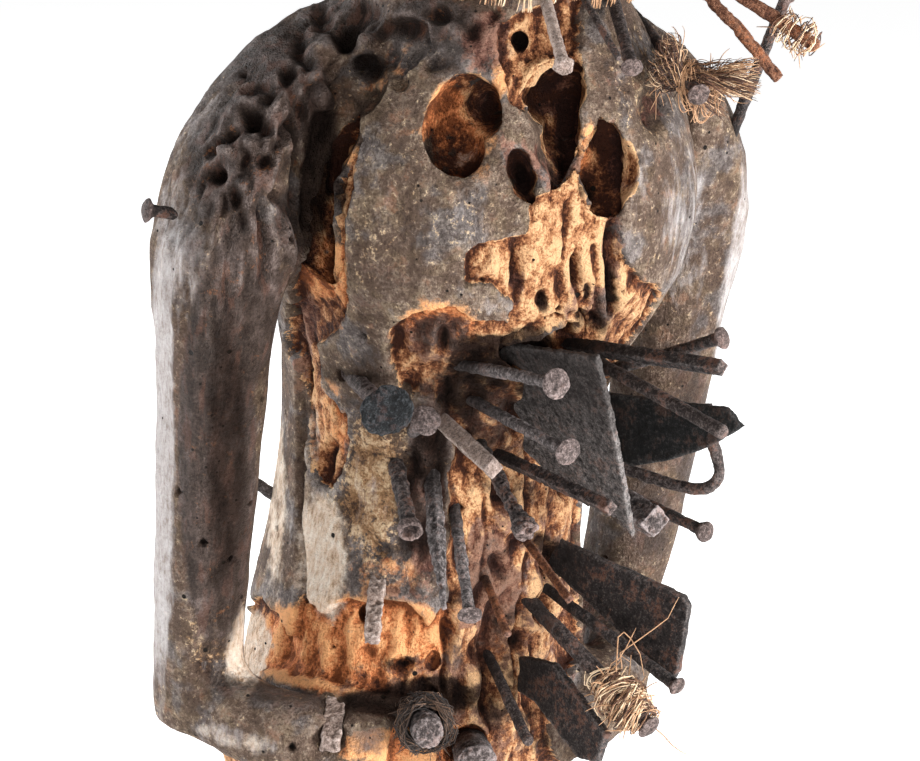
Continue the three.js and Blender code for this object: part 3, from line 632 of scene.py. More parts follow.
bareAreas = {  # where the old surface has gone; outlines in the picture
    "breast": [
        (500, 20), (585, -10), (580, 75), (577, 112), (576, 146), (590, 142), (600, 117), (613, 127),
        (622, 140), (619, 198), (624, 240), (630, 268), (650, 284), (668, 296), (668, 345), (560, 360),
        (508, 330), (514, 306), (492, 288), (463, 285), (466, 256), (475, 245), (501, 241), (526, 233),
        (530, 198), (548, 190), (551, 174), (543, 127), (528, 111), (512, 98), (498, 60),
    ],
    "belly": [
        (383, 339), (396, 322), (427, 311), (455, 311), (473, 322), (508, 326), (560, 340), (680, 330),
        (700, 420), (700, 640), (460, 640), (452, 600), (444, 560), (452, 525), (446, 480), (456, 452),
        (446, 425), (432, 402), (399, 388), (388, 360),
    ],
    "hip": [
        (700, 600), (700, 860), (190, 860), (215, 680), (232, 625), (250, 598), (262, 596), (272, 612),
        (287, 633), (293, 612), (301, 594), (306, 608), (322, 612), (341, 601), (372, 600), (402, 603),
        (420, 614), (430, 626), (441, 613), (450, 602), (462, 596),
    ],
    "flank": [
        (300, 296), (316, 336), (322, 387), (344, 415), (343, 468), (337, 482), (326, 492), (314, 480),
        (304, 440), (303, 400), (296, 372), (286, 350), (286, 306),
    ],
    "groove_foot": [
        (356, 112), (336, 140), (318, 200), (312, 250), (302, 272), (288, 296), (298, 322), (318, 344),
        (338, 332), (345, 300), (343, 262), (345, 220), (350, 180), (360, 134),
    ],
}

tones = {  # soft patches of colour: x, y, half width, half height, tilt, amount
    # dark crust and resin, and painted shade: the groove beside the arm, the shadows cast by the forearm, the
    # blade and the nails, the arm's front face, and the insides of hollows, pits and channels
    "sootAndShade": [
        (318, 170, 25, 110, 3, 1.0), (356, 64, 32, 46, 40, 0.4), (618, 290, 6, 36, 0, 1.0),
        (500, 352, 60, 16, 0, 0.95), (466, 400, 36, 34, 0, 0.85), (430, 460, 30, 44, 0, 0.7),
        (406, 530, 14, 34, 0, 0.7), (440, 520, 24, 60, 0, 0.5), (392, 588, 44, 12, 0, 0.45),
        (430, 702, 80, 24, 0, 1.0), (350, 706, 40, 12, 10, 0.6), (505, 700, 36, 50, 0, 0.6),
        (556, 548, 34, 12, 30, 0.9), (484, 106, 14, 20, 0, 0.2), (556, 158, 14, 34, 0, 0.6),
        (614, 162, 8, 34, 0, 0.25), (590, 186, 10, 12, 0, 0.7), (340, 374, 50, 12, 8, 0.6),
        (560, 735, 50, 40, 0, 0.6), (522, 178, 10, 24, -12, 0.7), (520, 495, 50, 20, 10, 0.6),
        (550, 392, 50, 26, 0, 0.7), (252, 118, 14, 12, 0, 0.85), (214, 176, 13, 12, 0, 0.75),
        (235, 202, 9, 13, 0, 0.7), (264, 163, 11, 10, 0, 0.7), (265, 129, 9, 9, 0, 0.7),
        (287, 136, 8, 20, 8, 0.6), (345, 34, 17, 22, 20, 0.9), (298, 44, 8, 20, 10, 0.6),
        (286, 74, 9, 12, 30, 0.6), (370, 66, 20, 22, 30, 0.85), (230, 138, 16, 9, -35, 0.6),
        (600, 400, 60, 60, 0, 0.6), (590, 560, 40, 40, 0, 0.5), (546, 305, 7, 15, 0, 0.9),
        (443, 350, 7, 12, 0, 0.7), (581, 274, 4, 14, 0, 0.9), (593, 300, 4, 14, 0, 0.9),
        (596, 332, 26, 12, 0, 0.7), (530, 345, 34, 14, 0, 0.85), (508, 500, 12, 18, 0, 0.6),
        (556, 612, 8, 16, 20, 0.6), (487, 655, 10, 16, 0, 0.6), (530, 648, 12, 14, 0, 0.7),
        (400, 668, 26, 10, 0, 0.7), (545, 436, 14, 26, 0, 0.55), (520, 426, 12, 16, 0, 0.6),
        (522, 38, 8, 10, 0, 0.9), (363, 620, 8, 12, 0, 0.6), (540, 545, 20, 10, 0, 0.6),
        (374, 702, 44, 15, 4, 1.0), (462, 652, 10, 14, 0, 0.5), (608, 312, 10, 16, 0, 0.4),
        (488, 374, 54, 32, 0, 0.9), (410, 505, 20, 44, 0, 0.6), (470, 440, 20, 30, 0, 0.6),
        (226, 455, 26, 190, 0, 0.75), (500, 450, 30, 26, 0, 0.5), (452, 600, 20, 20, 0, 0.6),
        (520, 640, 30, 40, 0, 0.5),
    ],
    # dark wood, and painted shade on the right arm's front face, which turns from the light
    "dark": [
        (217, 455, 38, 196, 0, 2.4), (240, 150, 60, 90, 30, 0.95), (270, 60, 60, 50, -30, 0.85),
        (340, 20, 70, 40, 0, 0.75), (430, 20, 60, 30, 0, 0.85), (248, 290, 36, 100, 0, 1.6),
        (270, 695, 90, 18, 12, 0.65), (300, 90, 40, 60, 0, 0.85), (690, 430, 26, 120, 0, 0.6),
        (290, 230, 20, 60, 0, 0.7), (650, 520, 30, 60, 0, 0.6), (372, 285, 50, 34, 0, 0.4),
        (430, 560, 60, 40, 0, 0.35), (440, 60, 44, 26, 0, 0.35), (390, 600, 60, 10, 0, 0.3),
        (520, 410, 90, 50, 0, 0.5), (430, 440, 30, 70, 0, 0.75), (360, 375, 40, 34, 0, 0.4),
        (470, 390, 60, 40, 0, 0.6), (425, 500, 26, 80, 0, 0.6), (356, 250, 16, 40, 0, 0.35),
        (480, 210, 26, 30, 0, 0.3), (600, 560, 50, 60, 0, 0.4), (200, 240, 24, 60, 0, 0.5),
        (206, 655, 30, 50, 0, 0.4), (372, 742, 28, 20, 0, 0.6), (405, 500, 26, 70, 0, 0.3),
        (500, 590, 60, 70, 0, 0.4), (300, 725, 60, 20, 10, 0.3), (612, 312, 12, 24, 0, 0.6),
        (462, 655, 20, 26, 0, 0.5), (150, 440, 20, 200, 0, 0.3), (440, 342, 40, 26, 0, 0.6),
        (520, 600, 40, 60, 0, 0.35), (560, 660, 60, 70, 0, 0.2), (745, 330, 22, 200, 8, 0.3),
    ],
    # pale worn wood, and painted highlights: the lit left edges of the right arm and shoulder, the rim of the
    # far arm and the lower edge of the forearm
    "pale": [
        (162, 440, 14, 280, 0, 1.1), (152, 560, 16, 160, 0, 1.0), (280, 490, 20, 130, 0, 0.25),
        (684, 220, 30, 110, 0, 0.4), (640, 195, 20, 80, 0, 0.25), (655, 50, 40, 40, 0, 0.3),
        (738, 300, 22, 260, 8, 0.75), (706, 520, 24, 140, 8, 0.8), (470, 215, 34, 36, 0, 0.3),
        (490, 305, 18, 14, 20, 0.4), (205, 640, 20, 32, 0, 0.2), (235, 738, 60, 14, 14, 0.5),
        (188, 250, 34, 100, 0, 0.45), (400, 230, 40, 60, 0, 0.1), (560, 700, 30, 70, 0, 0.3),
        (170, 250, 10, 80, 0, 0.6), (540, 590, 30, 40, 0, 0.15), (205, 120, 16, 50, 40, 0.5),
        (350, 500, 40, 80, 0, 0.3), (275, 370, 5, 70, 0, 0.7), (262, 250, 6, 60, -20, 0.2),
    ],
    # cream wood on the strips, and painted highlights on the lit side of the hip, the lower edge of the
    # forearm and the floor of the heart hollow
    "cream": [
        (322, 556, 26, 66, 0, 1.5), (243, 655, 17, 48, 0, 2.0), (276, 490, 12, 120, 0, 0.9),
        (640, 306, 22, 20, 0, 0.2), (462, 160, 20, 12, 0, 0.35), (306, 440, 6, 50, 0, 0.4),
        (232, 738, 46, 12, 16, 0.5),
    ],
    "ochre": [
        (372, 490, 34, 80, 0, 0.95), (365, 240, 30, 50, 0, 0.2), (430, 190, 50, 70, 0, 0.1),
        (205, 640, 26, 40, 0, 0.4), (335, 470, 10, 70, 0, 0.4), (380, 430, 36, 34, 0, 0.42),
        (470, 220, 30, 40, 0, 0.2), (640, 80, 40, 60, 0, 0.25),
    ],
    "red": [
        (488, 40, 34, 36, 20, 0.85), (508, 150, 10, 30, -10, 0.5), (530, 155, 12, 30, -20, 0.55),
        (520, 555, 46, 60, 0, 0.5), (298, 336, 10, 40, 0, 1.0), (390, 595, 50, 14, 0, 0.45),
        (556, 96, 16, 30, 0, 0.6), (521, 178, 10, 26, -13, 0.8), (420, 690, 120, 40, 0, 0.5),
        (568, 130, 12, 50, 0, 0.9), (430, 345, 50, 34, 0, 0.55), (500, 430, 50, 50, 0, 0.6),
        (300, 650, 20, 40, 0, 0.2), (500, 740, 60, 40, 0, 0.5), (482, 108, 18, 22, 0, 0.5),
        (614, 160, 10, 40, 0, 0.7), (616, 255, 12, 56, 0, 0.65), (655, 110, 16, 24, 10, 0.5),
        (560, 560, 40, 60, 0, 0.5), (470, 360, 60, 30, 0, 0.6), (426, 500, 20, 110, 0, 0.9),
        (322, 463, 5, 15, 0, 1.1), (606, 312, 18, 26, 0, 0.8), (495, 585, 40, 66, 0, 1.0),
        (500, 640, 60, 50, 0, 0.6), (600, 600, 40, 60, 0, 0.4), (440, 336, 40, 20, 0, 0.8),
        (520, 290, 10, 30, 0, 0.6), (575, 300, 14, 40, 0, 0.5), (545, 170, 14, 26, -20, 0.6),
        (265, 250, 12, 60, 0, 0.4), (545, 650, 50, 60, 0, 0.45), (530, 480, 60, 60, 0, 0.4),
        (610, 80, 8, 30, 0, 0.2),
    ],
    "orange": [
        (350, 645, 120, 52, 0, 1.5), (420, 748, 90, 24, 0, 1.0), (420, 650, 50, 50, 0, 0.6),
        (440, 330, 50, 34, 0, 0.8), (500, 630, 60, 60, 0, 0.55), (444, 110, 20, 34, 20, 1.0),
        (335, 280, 14, 60, -4, 0.7), (310, 290, 20, 26, 0, 0.7), (330, 420, 22, 60, 0, 0.45),
        (500, 60, 12, 60, 0, 0.6), (520, 400, 60, 60, 0, 0.45), (585, 150, 14, 40, 10, 0.6),
        (390, 575, 50, 24, 0, 0.5), (398, 490, 30, 90, 0, 0.2), (545, 400, 60, 50, 0, 0.5),
        (466, 140, 36, 44, 0, 0.5), (160, 250, 5, 40, 0, 0.4), (640, 300, 30, 30, 0, 0.25),
        (214, 170, 10, 12, 0, 0.4), (300, 175, 8, 30, 0, 0.35), (238, 200, 6, 10, 0, 0.4),
        (290, 240, 16, 50, 0, 0.3), (385, 70, 24, 40, 40, 0.3), (420, 130, 10, 50, 10, 0.3),
        (350, 170, 6, 60, 8, 0.6), (215, 300, 30, 60, 0, 0.25),
    ],
}

wearSettings = {  # metres, where no comment says otherwise
    "facing": (-0.05, 0.2),  # cosines, from turned away to in sight
    "seenLow": (0.215, 0.235),  # heights at the picture's lower and upper edge
    "seenHigh": (0.6, 0.575),
    "hem": 0.0014,  # how much deeper the bare wood of the hips lies
    "hemHeights": (585, 610),  # picture units
    "splitDepth": 0.0022,
    "splitTone": 0.8,  # how dark a split is painted: painted shade in the crack
    "spotDepth": 0.0004,
    "spotSize": 0.0065,
    "scoreSway": 2.2,  # picture units
    "dentSway": 3.5,
    "swaySize": 0.006,
    "scoreSwaySize": 0.012,
    "holes": 260,
    "holeRadius": (0.0007, 0.0014),
    "bigHoles": 0.12,  # share of the holes that are wide, and how much wider
    "bigHole": 1.6,
    "holeDepth": 0.0028,
}

bareSettings = {  # amounts in millimetres, sizes and heights in metres
    "ragged": [(1.7, 0.007, 3, 2), (0.8, 0.0025, 4, 1)],  # amount, size, seed, octaves
    "far": -30.0,  # well away from any bare wood
    "broad": 22,
    "broadSize": 0.055,
    "less": 9.5,
    "most": 12,
    "hips": 12,  # more of it round the hips, between these heights
    "hipsHigh": (0.35, 0.24),
    "hipsLow": (0.12, 0.2),
    "base": 0.05,  # and none on the base, up to this height
    "onBase": -10,
    "onArm": -3,  # and hardly any on the arms
    "armFall": 20,
}

stains = {  # on the sides out of sight, each tone with its size, seed, strength, offset and most
    "dark": (0.06, 61, 1.3, 0.1, 0.9),
    "pale": (0.04, 62, 1.5, -0.25, 0.55),
    "red": (0.05, 65, 1.2, -0.3, 0.6),
    "ochre": (0.045, 66, 1.4, -0.35, 0.6),
}

relief = {  # height and size in metres, seed, octaves, stretch up the grain, folded or not
    "rugged bare": [(-0.0056, 0.0135, 21, 2, 2.2, True)],
    "seen bare": [(0.0011, 0.005, 22, 2, 2.4, False), (0.0009, 0.0022, 23, 2, 1.4, False)],
    "unseen bare": [(0.0012, 0.009, 27, 2, 3.0, False), (0.0004, 0.0025, 23, 2, 3, False)],
    "old surface": [(0.0009, 0.02, 24, 2, 1.5, False)],
    "unseen": [(0.0006, 0.008, 67, 2, 3, False)],
    "everywhere": [(0.0004, 0.0034, 25, 2, 2.5, False)],
    "shoulder": [
        (-0.0034, 0.0125, 32, 2, 2.4, True), (0.0014, 0.0044, 35, 2, 2.8, False),
        (0.0007, 0.0024, 37, 1, 2, False),
    ],
    "arm": [(0.0021, 0.0046, 33, 2, 3.5, False), (0.0009, 0.0021, 36, 1, 5, False)],
    "crust": [(0.0016, 0.006, 34, 3, 1, False)],
}

reliefPatches = {  # where some of it lies; rows as in tones
    "calm": [(560, 240, 110, 150, 0, 0.65), (300, 660, 130, 70, 0, 0.5)],
    "shoulder": [(238, 150, 76, 120, 25, 1), (340, 40, 100, 62, 0, 1)],
    "arm": [(205, 260, 64, 100, 0, 1), (215, 470, 40, 180, 0, 0.3)],
    "crust": [(385, 500, 50, 110, 0, 1), (470, 44, 56, 46, 0, 1), (205, 640, 26, 44, 0, 0.8)],
}

hollowSettings = {
    "square": 0.55,  # a hollow runs in partly square to the wood and partly away from the camera
    "away": 0.45,
    "wobble": 0.1,  # unevenness as a share of its size, broad over the whole hollow and fine in metres
    "broad": 0.62,
    "fine": 0.0034,
    "near": 0.045,  # no hollow reaches further, in metres
    "rim": 1.04,  # bare walls begin here, as a share of a hollow's size, and lie this many millimetres in
    "wall": 14,
}

woodSettings = {
    "coarse": 0.003,
    "fine": 0.0012,
    "swell": 0.0007,
    "underside": 0.0035,
    "recess": 0.0032,  # how far the bare wood lies below the old surface
    "cutter": 0.0011,
    "triangles": 196000,
}

armLines = [  # centre lines of the right arm, millimetres
    [(-97, -2, 455), (-96, -1, 428), (-94, 0, 394), (-92, 2, 350), (-89, 4, 312), (-87, 12, 290)],
    [(-87, 12, 294), (-77, -22, 291), (-62, -38, 288), (-44, -50, 286)],
]


def lineDistance(co, points):  # to a line through points in millimetres
    best = np.full(len(co), 9.0)
    for a, b in zip(points, points[1:]):
        a, b = np.array(a) / 1000, np.array(b) / 1000
        t = np.clip(((co - a) @ (b - a)) / ((b - a) @ (b - a)), 0, 1)
        best = np.minimum(best, np.linalg.norm(co - a - t[:, None] * (b - a), axis=1))
    return best


def armShare(co):  # 1 on an arm, 0 on the trunk
    mirrored = co * np.array([-1, 1, 1]) + np.array([0.006, 0, 0])
    best = np.full(len(co), 9.0)
    for points in armLines:
        best = np.minimum(best, np.minimum(lineDistance(co, points), lineDistance(mirrored, points)))
    return smoothStep(0.026, 0.021, best)


def segmentDistance(x, y, x1, y1, x2, y2):  # to a line between two places, in picture units
    dx, dy = x2 - x1, y2 - y1
    t = np.clip(((x - x1) * dx + (y - y1) * dy) / (dx * dx + dy * dy), 0, 1)
    return np.hypot(x - x1 - t * dx, y - y1 - t * dy)


def outlineDistance(x, y, outline):  # in millimetres, more than 0 inside
    best, inside = np.full(len(x), 1e9), np.zeros(len(x), bool)
    for (x1, y1), (x2, y2) in zip(outline, outline[1:] + outline[:1]):
        best = np.minimum(best, segmentDistance(x, y, x1, y1, x2, y2))
        if y2 != y1:
            inside ^= ((y1 > y) != (y2 > y)) & (x < x1 + (y - y1) * (x2 - x1) / (y2 - y1))
    return np.where(inside, best, -best) / millimetre


def inPatch(x, y, row):  # across and along a tilted patch, 1 at its edge
    px, py, halfWide, halfHigh, tilt = row[:5]
    c, s = math.cos(math.radians(tilt)), math.sin(math.radians(tilt))
    return ((x - px) * c + (y - py) * s) / halfWide, ((y - py) * c - (x - px) * s) / halfHigh


def patches(x, y, rows):  # the strongest of some soft patches
    total = np.zeros(len(x))
    for row in rows:
        total = np.maximum(total, row[5] * smoothStep(1.25, 0.45, np.hypot(*inPatch(x, y, row))))
    return total


def reachOf(outline, x, y, angle):  # distance from a place to an outline round it, by direction
    around = np.array([math.atan2(v - y, u - x) for u, v in outline])
    away = np.array([math.hypot(v - y, u - x) for u, v in outline])
    order = np.argsort(around)
    return np.interp(angle, around[order], away[order], period=2 * math.pi) / millimetre / 1000


def hollowRows():  # x, y, tilt, depth, bare walls, reach by direction
    for depth, bareWalls, outline in hollowOutlines.values():
        x, y = np.mean([p[0] for p in outline]), np.mean([p[1] for p in outline])
        yield x, y, 0, depth, bareWalls, lambda angle, o=outline, u=x, v=y: reachOf(o, u, v, angle)
    for x, y, wide, high, tilt, depth in hollows:
        yield x, y, tilt, depth, False, lambda angle, w=wide, h=high: (
            w * h / np.hypot(h * np.cos(angle), w * np.sin(angle)) / millimetre / 1000
        )


def cutHollows(figure):
    parts, inner = [], []
    bpy.context.view_layer.update()
    for number, (x, y, tilt, depth, bareWalls, reach) in enumerate(hollowRows()):
        hit, at, normal = figure.ray_cast(eye, sightLine(x, y))[:3]
        if not hit:
            continue
        inward = -(normal * hollowSettings["square"] + viewBack * hollowSettings["away"]).normalized()
        side = viewRight.copy()
        side.rotate(Quaternion(viewBack, roll - math.radians(tilt)))
        side = (side - inward * side.dot(inward)).normalized()
        over = inward.cross(side)
        turned = np.array([side, over, inward]).T
        bpy.ops.mesh.primitive_ico_sphere_add(subdivisions=5, radius=1)
        part = bpy.context.object
        co = coordinates(part)
        wide = reach(np.arctan2(co[:, 1], co[:, 0]))
        scaled = co * np.array([wide, wide, np.full(len(co), depth / 1000)]).T
        seed = number * 7
        wobble = softNoise(co, hollowSettings["broad"], seed, 2)
        wobble = wobble + softNoise(scaled, hollowSettings["fine"], seed + 3, 2)
        scaled = scaled * (1 + hollowSettings["wobble"] * wobble)[:, None]
        reshape(part, scaled @ turned.T + np.array(at))
        parts.append(part)
        inner.append((np.array(at), turned, reach, depth / 1000, bareWalls))
    bpy.ops.object.select_all(action="DESELECT")
    for part in parts:
        part.select_set(True)
    bpy.context.view_layer.objects.active = parts[0]
    bpy.ops.object.join()
    cutter = bpy.context.object
    finishWith(cutter, "REMESH", mode="VOXEL", voxel_size=woodSettings["cutter"])
    finishWith(figure, "BOOLEAN", operation="DIFFERENCE", solver="MANIFOLD", object=cutter)
    bpy.data.objects.remove(cutter)
    return inner


def hollowShares(co, inner):  # how deep in a hollow, and how far inside one with bare walls, in millimetres
    far = bareSettings["far"]
    deep, walls = np.zeros(len(co)), np.full(len(co), far)
    for at, turned, reach, depth, bareWalls in inner:
        near = np.flatnonzero(np.abs(co - at).max(1) < hollowSettings["near"])
        q = (co[near] - at) @ turned
        wide = reach(np.arctan2(q[:, 1], q[:, 0]))
        away = np.sqrt((q[:, 0] / wide) ** 2 + (q[:, 1] / wide) ** 2 + (q[:, 2] / depth) ** 2)
        share = smoothStep(1.3, 1.0, away) * smoothStep(0.05, 0.7, q[:, 2] / depth)
        deep[near] = np.maximum(deep[near], share)
        if bareWalls:
            inside = (hollowSettings["rim"] - away) * hollowSettings["wall"]
            walls[near] = np.maximum(walls[near], np.where(q[:, 2] > 0.02 * depth, inside, far))
    return deep, walls


def bareDistance(co, x, y, onTrunk, trunk):  # millimetres inside the bare wood, and how ragged that is
    ragged = sum(amount * softNoise(co, *rest) for amount, *rest in bareSettings["ragged"])
    shown = np.full(len(co), bareSettings["far"])
    for outline in bareAreas.values():
        shown = np.maximum(shown, outlineDistance(x, y, outline))
    # out of sight it is broad noise
    z = co[:, 2]
    hips = smoothStep(*bareSettings["hipsHigh"], z) * smoothStep(*bareSettings["hipsLow"], z)
    guessed = softNoise(co, bareSettings["broadSize"], 9, 2, 1.6)
    guessed = bareSettings["broad"] * guessed - bareSettings["less"] + bareSettings["hips"] * hips
    guessed = np.minimum(guessed, bareSettings["most"])
    guessed = np.where(z < bareSettings["base"], bareSettings["onBase"], guessed)
    guessed = np.minimum(guessed, bareSettings["onArm"] + bareSettings["armFall"] * trunk)
    return shown * onTrunk + guessed * (1 - onTrunk) + ragged, ragged


def splitShare(co):  # long splits that run with the grain
    line = smoothStep(0.05, 0.0, np.abs(softNoise(co, 0.034, 63, 2, 9)))
    return line * smoothStep(0.05, 0.35, softNoise(co, 0.06, 64, 1, 2))


def reliefOf(co, x, y, seen, gone):  # bumps and folds of the surface
    places = {
        "unseen bare": gone * (1 - seen), "seen bare": gone * seen, "old surface": 1 - gone,
        "unseen": 1 - seen, "everywhere": np.ones(len(co)),
        "rugged bare": gone * seen * (1 - patches(x, y, reliefPatches["calm"])),
        "shoulder": patches(x, y, reliefPatches["shoulder"]) * seen * (1 - gone),
        "arm": patches(x, y, reliefPatches["arm"]) * seen,
        "crust": patches(x, y, reliefPatches["crust"]) * seen,
    }

    def height(points, rows):
        total = np.zeros(len(points))
        for high, size, seed, octaves, stretch, folded in rows:
            noise = softNoise(points, size, seed, octaves, stretch)
            total += high * (np.abs(noise) if folded else noise)
        return total

    out = np.zeros(len(co))
    for where, rows in relief.items():
        out += whereAny(places[where], co, lambda p: height(p, rows))
    out -= wearSettings["spotDepth"] * whereAny(places["shoulder"], co, lambda p: (
        smoothStep(0.4, 0.1, nearestSpot(p, wearSettings["spotSize"], 31, 1.4))
    ))
    return out


def dentDepth(co, x, y, facing):
    sway, size = wearSettings["dentSway"], wearSettings["swaySize"]
    x, y = x + sway * softNoise(co, size, 51), y + sway * softNoise(co, size, 52)
    total = np.zeros(len(co))
    for row in dents:
        u, v = inPatch(x, y, row)
        total += row[5] / 1000 * np.clip(1.15 - 0.62 * (u * u + v * v), 0, 1) ** 2
    return total * smoothStep(0.05, 0.3, facing)


def scoreDepth(co, x, y, onTrunk):
    sway, size = wearSettings["scoreSway"], wearSettings["scoreSwaySize"]
    total = np.zeros(len(co))
    for x1, y1, x2, y2, halfWide, deepness in scores:
        off = segmentDistance(x, y, x1, y1, x2, y2)
        close = np.where(off < halfWide * 1.8 + 4, onTrunk, 0)
        off = off + whereAny(close, co, lambda p: sway * softNoise(p, size, 41))
        total += close * deepness / 1000 * smoothStep(halfWide * 1.8, halfWide * 0.4, off)
    return total


def beetleHoles(co, deep):  # the holes wide enough to model, outside the hollows and the base
    chance = random.Random(5)
    hole = np.zeros(len(co))
    spread = np.flatnonzero((co[:, 2] > 0.06) & (deep < 0.2))
    for i in range(wearSettings["holes"]):
        middle = co[spread[chance.randrange(len(spread))]]
        radius = chance.uniform(*wearSettings["holeRadius"])
        radius *= wearSettings["bigHole"] if chance.random() < wearSettings["bigHoles"] else 1
        near = np.flatnonzero(np.abs(co - middle).max(1) < radius * 1.6)
        apart = np.linalg.norm(co[near] - middle, axis=1)
        hole[near] = np.maximum(hole[near], smoothStep(radius * 1.25, radius * 0.55, apart))
    return hole


def wearAndPaintedLight(co, no, inner):  # how far each point of the wood moves out, and its tones, some of them painted shade and painted highlights
    x, y = inPicture(co)
    facing = no @ np.array(viewBack)
    seen = smoothStep(*wearSettings["facing"], facing)
    for edge in ("seenLow", "seenHigh"):
        seen = seen * smoothStep(*wearSettings[edge], co[:, 2])
    trunk = 1 - armShare(co)
    onTrunk = seen * trunk
    deep, walls = hollowShares(co, inner)
    bare, ragged = bareDistance(co, x, y, onTrunk, trunk)
    gone = smoothStep(-0.35, 0.35, bare)
    split = splitShare(co) * (1 - seen) * (1 - gone)
    hole = beetleHoles(co, deep)

    amounts = {tone: patches(x, y, rows) * smoothStep(-0.4, 0, facing) for tone, rows in tones.items()}
    for tone, (size, seed, strength, offset, most) in stains.items():
        stain = np.clip(strength * softNoise(co, size, seed, 3, 2.2) + offset, 0, most)
        amounts[tone] = np.maximum(amounts[tone], (1 - seen) * stain)
    # splits are darkened with the soot tone: painted shade in the crack
    amounts["sootAndShade"] = np.maximum(amounts["sootAndShade"], wearSettings["splitTone"] * split)
    amounts["bare"] = np.maximum(bare, walls + 0.5 * ragged)
    # the modelled beetle holes are painted near black inside: painted shade
    amounts["hole"] = np.clip(hole * 1.4 - 0.3, 0, 1)

    rugged = 1 - patches(x, y, reliefPatches["calm"])
    hem = wearSettings["hem"] * smoothStep(*wearSettings["hemHeights"], y) * onTrunk
    out = -(woodSettings["recess"] * (0.5 + 0.5 * rugged) + hem) * gone
    out += reliefOf(co, x, y, seen, gone) - wearSettings["splitDepth"] * split
    out -= dentDepth(co, x, y, facing) + scoreDepth(co, x, y, onTrunk) + wearSettings["holeDepth"] * hole
    return out, amounts


def thinned(piece, most):  # fewer triangles, if there are more than that
    triangles = sum(len(p.vertices) - 2 for p in piece.data.polygons)
    if triangles > most:
        finishWith(piece, "DECIMATE", ratio=most / triangles)


def carveFigure():
    figure = copyOf("carved_figure", "carved_figure_weathered")
    low = coordinates(figure)[:, 2].min()
    finishWith(figure, "REMESH", mode="VOXEL", voxel_size=woodSettings["coarse"])
    finishWith(figure, "SMOOTH", factor=0.5, iterations=9)
    co, no = coordinates(figure), normals(figure)
    co += no * woodSettings["swell"]
    co[:, 2] = np.where(co[:, 2] < woodSettings["underside"], low, co[:, 2])  # the base stays flat below
    reshape(figure, co)
    finishWith(figure, "SUBSURF", levels=1, render_levels=1)
    inner = cutHollows(figure)
    finishWith(figure, "REMESH", mode="VOXEL", voxel_size=woodSettings["fine"])
    finishWith(figure, "SMOOTH", factor=0.5, iterations=2)
    co, no = coordinates(figure), normals(figure)
    print("wood roughed out:", len(co), "points")
    broadly = evened(figure, no, 40)
    broadly /= np.maximum(np.linalg.norm(broadly, axis=1), 1e-6)[:, None]
    out, amounts = wearAndPaintedLight(co, broadly, inner)
    under = smoothStep(0.003, 0.006, co[:, 2])
    moved = co + broadly * (out * under)[:, None]
    moved[:, 2] = np.maximum(moved[:, 2], low)
    reshape(figure, moved)
    finishWith(figure, "SMOOTH", factor=0.35, iterations=1)
    before = coordinates(figure)
    thinned(figure, woodSettings["triangles"])
    tree = KDTree(len(before))
    for i, p in enumerate(before):
        tree.insert(p, i)
    tree.balance()
    nearest = np.array([tree.find(p)[1] for p in coordinates(figure)])
    for name, values in amounts.items():
        store(figure, name, values[nearest])
    store(figure, "ridge", np.clip(ridges(figure, 16), -1.5, 1.5))
    smoothShaded(figure)
    place(figure, "carved_wood", wood, "carved_figure")
    print("wood worn:", len(figure.data.polygons), "faces")


carveFigure()


